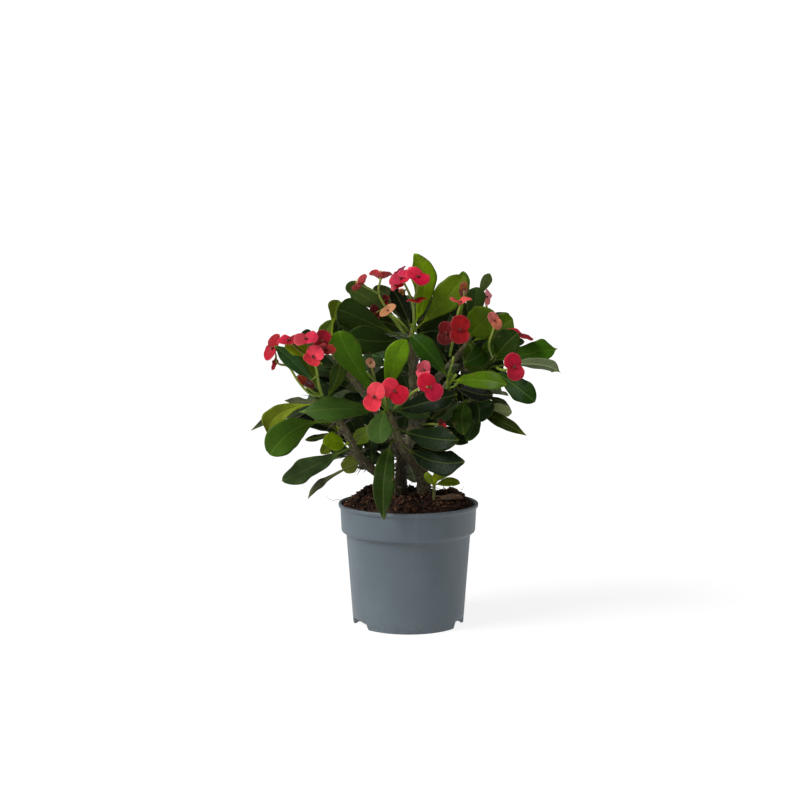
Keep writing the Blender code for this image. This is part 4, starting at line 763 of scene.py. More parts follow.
def cyathium(skin, centre, face, seed, mat, open_=True, size=1.0, pale=False):
    """the little cup between the bracts: five glands round a throat darkened with painted shade"""
    face = unit(face)
    red, dark, gold = rgb("#5e0810"), rgb("#140205"), rgb("#8a4a1e")
    if pale:
        red, dark, gold = rgb("#8a8a3a"), rgb("#5a5a20"), rgb("#d8d080")
    k = size
    prof = [(0.5 * k, -1.4 * k), (1.1 * k, -0.9 * k), (1.55 * k, 0.0), (1.7 * k, 0.9 * k), (1.5 * k, 1.25 * k),
            (1.05 * k, 1.15 * k), (0.75 * k, 0.6 * k), (0.35 * k, 0.35 * k)]
    # the inner rings are painted shade in the throat of the cup
    tints = [red, red, red, red * 1.2, red, dark, dark, dark]
    e1, e2 = lathe(skin, np.asarray(centre, float), face, prof, red, mat, 18, seed=seed, tints=tints)
    for i in range(5):
        a = 2 * math.pi * (i + seed) / 5
        out = e1 * math.cos(a) + e2 * math.sin(a)
        tang = np.cross(face, out)
        c = centre + out * 1.75 * k + face * 1.2 * k
        rings = []
        for t in np.linspace(-1, 1, 7):
            w = math.sqrt(max(1 - (0.97 * t) ** 2, 0.0))
            b = np.linspace(0, 2 * math.pi, 8, endpoint=False)
            rings.append(c + tang * t * 0.78 * k + np.outer(np.cos(b), out) * 0.50 * k * w
                         + np.outer(np.sin(b), face) * 0.26 * k * w + face * 0.1 * t * t)
        skin.loft(rings, rgb("#b8b060") if pale else (rgb("#7a1014") if seed < 0.7 else rgb("#8a3414")), mat, seed=seed)
    if open_:
        for i in range(5):
            a = 2 * math.pi * (i * 0.618 + seed)
            out = e1 * math.cos(a) + e2 * math.sin(a)
            foot = centre + out * 0.3 * k + face * 0.5 * k
            top = foot + face * (1.2 + 0.7 * rnd(seed, i)) * k * (1.5 if pale else 1) + out * 0.45 * k
            tube(skin, [foot, (foot + top) / 2, top], [0.12 * k, 0.11 * k, 0.10 * k], gold if pale else rgb("#a03020"), mat, 0.7, 6, seed)
            lathe(skin, top, face, [(0.06 * k, -0.1 * k), (0.24 * k, 0.0), (0.24 * k, 0.16 * k), (0.05 * k, 0.3 * k)], gold, mat, 8, seed=seed)


def flower(skin, centre, face, axis, length, width, cup, share, tint, seed, mats=(0, 1), foot=None,
           tint2=None, open_=True):
    centre = np.asarray(centre, float)
    face, axis = unit(face), unit(axis)
    lift = math.radians(cup)
    for j, (sign, scale) in enumerate(((1, 1.0), (-1, share))):
        along = axis * sign * math.cos(lift) + face * math.sin(lift)
        up = face * math.cos(lift) - axis * sign * math.sin(lift)
        t = tint if j == 0 or tint2 is None else tint2
        # one bract lies a little over the other
        c = centre + up * (0.22 if j == 0 else -0.12)
        # the longer one reaches back past the cup, so that the two overlap
        bract(skin, c - along * 1.9, along, up, length * scale + 1.9, width, t,
              (seed + 0.37 * j) % 1.0, mats[0])
    # a fresh one seen from the side stands up pale above its bracts
    pale = face[1] > 0.3
    k = 1.25 if pale else min(0.72, width / 14 * 0.70 + 0.05)
    cyathium(skin, centre + face * (2.2 if pale else 0.5), face, seed, mats[1], open_, k, pale)


def fresh(name):
    bpy.context.view_layer.update()
    return Skin()


# ------------------------------------------------ the plant, as in the CAD model, in mm
# woody stems: each limb is (points from the root up, radius at each point)
STEMS = {
    "stem_left": [
        ([(-9.2, -10, 94), (-9.2, -10, 111.5), (-12.2, -12, 119.3), (-21.5, -16, 126.7), (-32.5, -18, 136.4), (-42.5, -20, 146.9), (-48.3, -22, 158.1), (-54, -24, 170.1), (-60.6, -26, 179.6), (-66.3, -27, 187.2)],
         [4.2, 4.2, 4, 3.9, 3.8, 3.8, 3.6, 3.4, 3.2, 2.8]),
    ],
    "stem_middle": [
        ([(13.4, -4, 96), (13.4, -4, 117.2), (11.7, -4, 128.4), (4.8, -5, 139.7), (-2.9, -6, 148.5), (-8, -6, 157), (-11.4, -6, 166.5), (-14.8, -7, 175.1), (-17.3, -8, 182.9)],
         [6.2, 6, 5.8, 5, 4.4, 4, 3.8, 3.4, 2.6]),
    ],
    "stem_main": [
        ([(-6.3, 12, 96), (-6.3, 12, 120.8), (-5.4, 12, 136.6), (-0.2, 13, 151.3), (4.1, 13, 168.7), (4.9, 11, 190.6), (4, 7, 216.8), (2.2, 4, 234.1), (2.2, 3, 244.4)],
         [5.6, 5.4, 5, 4.6, 4.4, 4.2, 3.8, 3.2, 2.6]),
        ([(4.1, 13, 168.7), (16, 5, 182.5), (26, -5, 194.6), (32.5, -11, 206.1)],
         [3.6, 3.4, 3.2, 2.6]),
        ([(4.9, 11, 188.9), (18.8, 15, 203.3), (36, 15, 220.6), (48.8, 13, 236.2)],
         [3.6, 3.4, 3.2, 2.6]),
        ([(36, 15, 220.6), (51.4, 12, 217.3), (61.6, 9, 219.2), (67.5, 8, 221.9)],
         [3.2, 3, 2.8, 2.4]),
        ([(4.1, 13, 168.7), (23.3, 18, 176.9), (40.7, 20, 183.7), (52.8, 19, 188.2)],
         [3.4, 3.2, 3, 2.4]),
        ([(-5.4, 12, 136.6), (-15.9, 18, 159.4), (-31.4, 16, 185.8), (-48.5, 12, 209.6), (-62, 8, 227)],
         [3.6, 3.4, 3.2, 3, 2.4]),
        ([(-5.4, 12, 136.6), (-14.2, 24, 154.3), (-26.5, 32, 175.5), (-32.7, 37, 188.3)],
         [3.4, 3.2, 3, 2.6]),
        ([(-0.2, 13, 151.3), (17.4, 26, 167.3), (35.1, 34, 186.8), (42.3, 38, 198.9)],
         [3.4, 3.2, 3, 2.6]),
        ([(4, 7, 216.8), (7.6, 18, 229.1), (10.3, 27, 239.1)],
         [3.2, 3, 2.6]),
        ([(-5.4, 12, 120.8), (-7.2, 26, 134.7), (-7.2, 36, 144)],
         [3.4, 3, 2.6]),
    ],
}
CHIP = (34.0, -20.0, 0.12)

# single leaves: base, middle, tip, width, upper face, colour, widest point, stalk share,
# fold and twist in degrees, waviness of the margin
# the colours are partly each leaf's own green, partly painted light and shade for how lit that leaf stands
LEAVES = {
    "leaf_crown_tall": ((4.8, 4, 253.7), (13.4, 12, 289.4), (4.8, 14, 316.3), 22, (0.24, -0.96, 0.15), "#698805", 0.6, 0.08, 10, 0, 0.8, 0.3),
    "leaf_crown_right": ((7.3, 0, 253), (30, -6, 275.9), (46.9, -2, 297.4), 26, (-0.15, -0.98, 0.09), "#4a5f07", 0.66, 0.08, 8, 10, 1.2, 0.25),
    "leaf_left_shoulder": ((-3.8, -2, 244.6), (-40.7, -14, 261.8), (-59.6, -22, 269.5), 26, (0.3, -0.95, -0.09), "#24380a", 0.66, 0.08, 8, 0, 0.6),
    "leaf_left_broad": ((-3.8, -6, 242.2), (-30.4, -28, 243.1), (-50.8, -34, 246.7), 25, (0.51, -0.83, 0.21), "#1a2e05", 0.62, 0.08, 8, 0, 0.5),
    "leaf_centre_lime": ((-17.3, -14, 189.4), (-12.9, -44, 223.3), (-1.5, -50, 244.9), 19, (-0.16, -0.85, -0.51), "#517105", 0.66, 0.08, 8, 0, 0.6, 0.15),
    "leaf_centre_right": ((33.1, -18, 211.7), (17.7, -30, 232.4), (2, -24, 247.9), 18, (0.22, -0.97, 0.03), "#213f05", 0.6, 0.08, 10, 0, 0.6),
    "leaf_left_long": ((-23.1, -16, 189.6), (-47.3, -42, 229.8), (-56.8, -46, 252), 23, (0.24, -0.92, -0.31), "#3c5e05", 0.64, 0.08, 8, 0, 0.8),
    "leaf_left_under_bloom": ((-74.8, -37, 204.7), (-91.9, -48, 224.4), (-109, -51, 240.4), 14.5, (0.52, -0.83, 0.17), "#34552a", 0.62, 0.08, 14, 0, 0.8, 0.4),
    "leaf_left_old": ((-76.8, -26, 190.5), (-106.9, -30, 183.3), (-115.8, -42, 167.2), 18, (0.17, -0.92, 0.35), "#6f7b1d", 0.66, 0.08, 16, 0, 1.0),
    "leaf_left_drooping": ((-63.6, -33, 175.7), (-89, -78, 176.1), (-110.1, -84, 155.2), 26, (0.61, -0.7, 0.36), "#334e0e", 0.68, 0.2, 8, 0, 0.6),
    "leaf_left_wide": ((-23.2, -14, 183.5), (-56.6, -40, 187.6), (-90.4, -39, 185.1), 22, (0.31, -0.81, 0.49), "#354f1a", 0.6, 0.08, 8, 0, 0.6, 0.8),
    "leaf_low_left_wavy": ((-50.6, -28, 153), (-77.1, -44, 141.7), (-103.1, -58, 130.5), 18, (0.38, -0.88, 0.28), "#364825", 0.66, 0.08, 8, 0, 2.2),
    "leaf_low_left_narrow": ((-43.2, -24, 139.8), (-70.4, -34, 126.9), (-83.4, -40, 112.7), 6, (0.1, -0.92, 0.39), "#3f4333", 0.6, 0.08, 10, 60, 2.6, 0.6),
    "leaf_left_olive": ((-53.1, -28, 156.3), (-59.8, -44, 160.8), (-70.3, -54, 162), 16, (0.82, -0.48, 0.3), "#738c05", 0.55, 0.08, 8, 0, 0.3),
    "leaf_stem_left_hanging": ((-46.1, -12, 150.9), (-48.9, -8, 140.1), (-53.2, -8, 129.8), 15, (-0.06, -0.98, -0.17), "#6c7529", 0.66, 0.08, 8, 0, 0.4),
    "leaf_stem_left_lit": ((-44.4, -14, 153.7), (-40.1, -14, 161.4), (-29.1, -16, 168.4), 14, (-0.11, -0.99, -0.02), "#738a2a", 0.5, 0.08, 8, 0, 0.3),
    "leaf_centre_hanging": ((-18.9, -16, 186.2), (-23.5, -46, 174.2), (-21.8, -54, 161.1), 22, (0.1, -0.55, 0.83), "#435d29", 0.62, 0.08, 8, 0, 0.4),
    "leaf_front_hanging": ((-14.8, -14, 156.3), (-20.2, -58, 133), (-20, -70, 100.6), 18, (0.06, -0.71, 0.7), "#1d3008", 0.5, 0.08, 10, 0, 0.5, 0.35),
    "leaf_mid_right_upper": ((-12.2, -14, 183.5), (12.8, -32, 191.9), (40.6, -40, 200), 20, (-0.49, -0.85, 0.22), "#051405", 0.6, 0.08, 8, 0, 0.8, 0.3),
    "leaf_mid_right_lower": ((-7.2, -14, 167.4), (17.5, -46, 164.3), (40.6, -60, 164.3), 21, (-0.63, -0.68, 0.36), "#071905", 0.62, 0.08, 8, 0, 0.8, 0.3),
    "leaf_low_right": ((-3.8, -14, 153.7), (20, -44, 145), (45.7, -58, 146.5), 22, (-0.58, -0.72, 0.39), "#061705", 0.62, 0.08, 8, 0, 1.4, 0.25),
    "leaf_right_lime": ((35.6, -18, 209.1), (58.3, -58, 212.9), (78.2, -72, 209.9), 15, (-0.76, -0.59, 0.27), "#395205", 0.55, 0.08, 8, 0, 0.5, 0.3),
    "leaf_right_face": ((50.3, 10, 245), (59.5, -8, 255.8), (71.5, -16, 267.7), 29, (-0.5, -0.76, -0.41), "#49600a", 0.6, 0.08, 8, 0, 0.6),
    "leaf_right_mid": ((73.5, -4, 226.8), (79.6, -22, 238.7), (90.8, -26, 249.7), 24, (-0.58, -0.76, -0.29), "#1d3005", 0.6, 0.08, 10, 0, 0.5),
    "leaf_right_horizontal": ((71.1, 10, 224.3), (103.9, -5, 232), (127.3, 0, 235.4), 20, (-0.24, -0.89, 0.4), "#305406", 0.6, 0.08, 12, 0, 0.8, 0.95),
    "leaf_right_underside": ((71.2, -1, 219.9), (104.5, -40, 224.7), (123.7, -48, 217.9), 14, (0.56, 0.6, 0.57), "#2e3c0e", 0.66, 0.08, 12, 0, 0.8, 0.95),
    "leaf_right_drooping": ((69.4, -2, 217.4), (85.7, -40, 208.3), (102.7, -52, 194.5), 19, (-0.63, -0.63, 0.45), "#153005", 0.68, 0.08, 8, 0, 0.8),
    "leaf_low_right_vertical": ((49.5, 6, 191), (44.6, -26, 181.3), (45.8, -36, 165.6), 17, (0.02, -0.52, 0.85), "#273d0c", 0.55, 0.08, 8, 0, 0.5),
    "leaf_low_right_narrow": ((60.2, 11, 182.8), (78.3, -12, 174.8), (99.2, -20, 163.4), 11, (-0.49, -0.81, 0.32), "#253107", 0.46, 0.08, 8, 0, 0.6, 0.5),
}
YOUNG_LEAVES = ("leaf_centre_lime", "leaf_right_lime", "leaf_left_olive", "leaf_left_old")
DUSTY_LEAVES = ("leaf_low_left_narrow", "leaf_front_hanging")

# shoot tips: node, bud axis, radii, leaves, material slot
# the leaf colours are partly each leaf's own green, partly painted light and shade for how lit that leaf stands
SHOOTS = [
    ("shoot_left", [(-66.7, -27.1, 187.7), (-67.3, -27.2, 188.5), (-69.6, -28, 191.9), (-72.4, -29, 196.2)], [2.8, 2.4, 2.0, 1.6], [
        ((-69.5, -28, 191.9), (-59.4, -30, 213.3), (-57.6, -32, 225.9), 14, (-0.01, -0.99, -0.11), "#263705", 0.62, 0.08, 12, 0, 0.3, 0.4),
        ((-70.3, -28.3, 193), (-101.8, -12, 185), (-129.3, -46, 170.5), 10, (-0.39, 0.86, 0.33), "#5a6a4a", 0.7, 0.08, 8, 0, 0.3, 0.6),
        ((-70.7, -28.4, 193.6), (-89, -13, 191), (-104.5, -14, 192.4), 11, (-0.2, -0.38, 0.9), "#4a4d38", 0.6, 0.08, 10, 0, 0.6, 0.5),
        ((-71.9, -28.8, 195.4), (-84.7, -35, 226.9), (-99.7, -32, 241.6), 17, (0.11, -0.99, -0), "#3c4f05", 0.62, 0.08, 8, 0, 0.4),
        ((-71.1, -28.5, 194.2), (-84.2, 6, 232.3), (-86.9, 10, 251.8), 14, (-0.05, -0.84, 0.55), "#26371c", 0.62, 0.08, 8, 0, 0.4),
    ], "green_leaf"),
    ("shoot_left_low", [(-56.9, -17, 158.4), (-58.1, -17, 162.6), (-58.6, -16, 167.6)], [1.3, 1.15, 1.0], [
        ((-57.3, -17, 159.9), (-65.9, -22, 155.6), (-73.4, -24, 148.2), 10, (0.23, -0.94, 0.25), "#535e0e", 0.62, 0.08, 8, 0, 0.3),
        ((-58.5, -16.2, 166.6), (-74.5, -18, 161.9), (-87, -20, 159.6), 6, (0.01, -0.89, 0.45), "#1c270f", 0.6, 0.08, 10, 0, 0.3),
        ((-58.5, -16.2, 166.6), (-69.4, -18, 174.6), (-79.4, -20, 175.6), 6, (0.36, -0.79, 0.5), "#2f3a12", 0.6, 0.08, 10, 0, 0.3),
    ], "green_leaf"),
    ("shoot_right_front", [(32.8, -11.2, 206.5), (33.3, -11.7, 207.4), (34.2, -12.5, 208.7), (34.9, -14, 211.8)], [2.6, 2.23, 1.87, 1.5], [
        ((33.5, -11.9, 207.8), (54.5, -26, 199.7), (70.1, -30, 198.8), 14, (-0.25, -0.79, 0.56), "#050905", 0.6, 0.08, 8, 0, 0.5),
        ((33.5, -11.9, 207.8), (32.1, -24, 190.3), (17.8, -30, 178.3), 9, (0.15, -0.88, 0.46), "#252c11", 0.6, 0.08, 30, 0, 1.0),
    ], "green_leaf"),
    ("shoot_right_top", [(49.2, 12.9, 236.7), (49.8, 12.8, 237.5), (51.4, 14, 240.5), (54, 15, 244.8)], [2.6, 2.27, 1.93, 1.6], [
        ((53.5, 14.8, 243.9), (57.1, 10, 273.2), (57.7, 8, 287.7), 17, (-0.07, -0.99, -0.15), "#334a1c", 0.62, 0.08, 10, 0, 0.3),
        ((53.5, 14.8, 243.9), (61.1, 20, 279.1), (70.4, 20, 299.3), 11, (0.45, -0.89, -0.05), "#52612e", 0.72, 0.4, 20, 0, 0.4),
        ((50.1, 13, 237.9), (77.9, 12, 253.5), (89.5, 8, 260.4), 20, (-0.21, -0.97, 0.15), "#465f0c", 0.62, 0.08, 10, 0, 0.5),
        ((51.5, 14, 240.7), (62.5, -2, 232.7), (47.5, -14, 224.9), 20, (0.7, -0.43, 0.58), "#1e3805", 0.6, 0.08, 8, 0, 0.3),
        ((51.9, 14.2, 241.2), (56, 2, 229.1), (64.4, 0, 215.5), 24, (-0.06, -0.89, 0.46), "#2a3b05", 0.6, 0.08, 8, 0, 0.3),
    ], "green_leaf"),
    ("shoot_right_low", [(53.3, 19, 188.3), (54.3, 18.9, 188.7), (56.3, 20, 188.9), (59, 21, 189.3)], [2.4, 2.1, 1.8, 1.5], [
        ((55.6, 19.6, 188.9), (56.5, 6, 173.8), (49.9, -6, 157), 14, (0.02, -0.78, 0.62), "#2c4420", 0.66, 0.08, 8, 0, 0.4),
        ((54.8, 19.1, 188.8), (59, -8, 187.2), (59.6, -14, 174.1), 26, (-0.33, -0.42, 0.84), "#0a1f05", 0.6, 0.08, 8, 0, 1.0),
        ((55.4, 19.5, 188.8), (76.2, 6, 182.4), (88.7, 2, 181.5), 13, (0.49, 0.81, 0.33), "#6e733a", 0.62, 0.08, 14, 0, 0.8),
        ((56.5, 20.1, 189), (74, 12, 191.4), (88.4, 8, 182.2), 8, (0.04, -0.41, 0.91), "#333b21", 0.6, 0.08, 8, 0, 0.3),
    ], "green_leaf"),
    ("shoot_upper_left", [(-62.4, 7.9, 227.5), (-63, 7.7, 228.3), (-64.1, 7, 230.1), (-65.3, 6, 234)], [2.4, 2.1, 1.8, 1.5], [
        ((-64.5, 6.7, 231.4), (-64.1, 0, 256.4), (-59.1, -4, 276.8), 15, (0.02, -0.97, -0.23), "#62711a", 0.8, 0.35, 16, 0, 0.3),
        ((-64.2, 7, 230.2), (-71.3, 6, 244.3), (-64.3, 4, 259.7), 14, (0.06, -0.99, -0.1), "#5f7525", 0.6, 0.08, 10, 0, 0.3),
        ((-63.3, 7.5, 228.7), (-54.4, 10, 240.7), (-57.8, 12, 255.2), 16, (0.07, -0.99, 0.15), "#202d15", 0.6, 0.08, 10, 0, 0.3),
    ], "young_leaf"),
    ("shoot_crown", [(2.2, 2.9, 244.9), (2.2, 2.8, 246), (2.7, 4, 247.8), (3.1, 5, 252)], [2.6, 2.27, 1.93, 1.6], [
        ((2.7, 4.1, 248.4), (-35.2, 4, 278.4), (-52.2, 2, 283.5), 19, (0.15, -0.97, 0.18), "#37481b", 0.66, 0.08, 8, 0, 0.6),
        ((3, 4.8, 251), (-5.4, 12, 271.5), (-14, 14, 286.8), 15, (-0.09, -0.97, 0.21), "#0b1305", 0.6, 0.08, 10, 0, 0.5),
        ((3, 4.8, 251), (-14.9, 22, 275.6), (-30.6, 26, 286.8), 15, (-0.26, -0.92, 0.3), "#2c3515", 0.62, 0.08, 10, 0, 0.5),
        ((3, 4.8, 251), (20.3, 12, 259.5), (34, 12, 270.6), 18, (0.14, -0.98, 0.13), "#172205", 0.62, 0.08, 10, 0, 0.5),
        ((2.7, 4, 247.9), (-17.4, 6, 257.1), (-34.5, 6, 258.8), 20, (-0.04, -1, 0.04), "#1a2305", 0.62, 0.08, 10, 0, 0.5),
    ], "green_leaf"),
    ("shoot_young", [(21.4, -25, 98), (21.4, -25, 117.9), (21.8, -27, 123.3)], [1.5, 1.3, 1.1], [
        ((21.6, -26.1, 120.8), (23.7, -30, 129.7), (34.5, -32, 132.5), 8, (-0.33, -0.94, -0.11), "#66761a", 0.6, 0.08, 10, 0, 0.4),
        ((21.7, -26.7, 122.4), (33.8, -30, 125.4), (42.9, -32, 124.5), 8, (-0.26, -0.85, 0.46), "#51600e", 0.5, 0.08, 10, 0, 0.2),
        ((21.6, -26.4, 121.6), (17, -32, 128.3), (15.3, -34, 134.4), 7, (0.26, -0.88, -0.4), "#66761a", 0.6, 0.08, 10, 0, 0.4),
        ((21.7, -26.7, 122.4), (22.8, -34, 130.2), (31.1, -34, 135.3), 7, (-0.35, -0.9, -0.26), "#6b7505", 0.6, 0.08, 10, 0, 0.4),
    ], "young_leaf"),
]

# leafy tips grown by the golden angle: node, axis, radii, direction, leaf count, length, width, first angle
WHORLS = [
    ("shoot_rear_left", [(-33, 37.2, 188.8), (-33.6, 37.7, 190), (-36.5, 40, 196)], [2.6, 2.6, 1.6], (-0.5, 0.6, 0.5), 8, 50, 21, 0.3),
    ("shoot_rear_right", [(42.6, 38.2, 199.4), (43.3, 38.5, 200.5), (46.7, 40.5, 206.3)], [2.6, 2.6, 1.6], (0.5, 0.6, 0.5), 8, 50, 21, 1.4),
    ("shoot_rear_top", [(10.4, 27.4, 239.5), (10.7, 28.3, 240.5), (12.1, 32.9, 245.6)], [2.6, 2.6, 1.6], (0.05, 0.65, 0.75), 8, 48, 20, 2.2),
    ("shoot_rear_low", [(-7.2, 36.4, 144.4), (-7.2, 37.5, 145.4), (-7.2, 42.6, 150.1)], [2.6, 2.6, 1.6], (0, 0.92, 0.25), 7, 46, 19, 0.9),
    ("shoot_inner", [(-11.2, 8, 215.3), (-11.7, 7, 216.9), (-13.7, 3.5, 222.7)], [2.0, 2, 1.2], (-0.25, -0.45, 0.75), 5, 34, 16, 0.5),
]
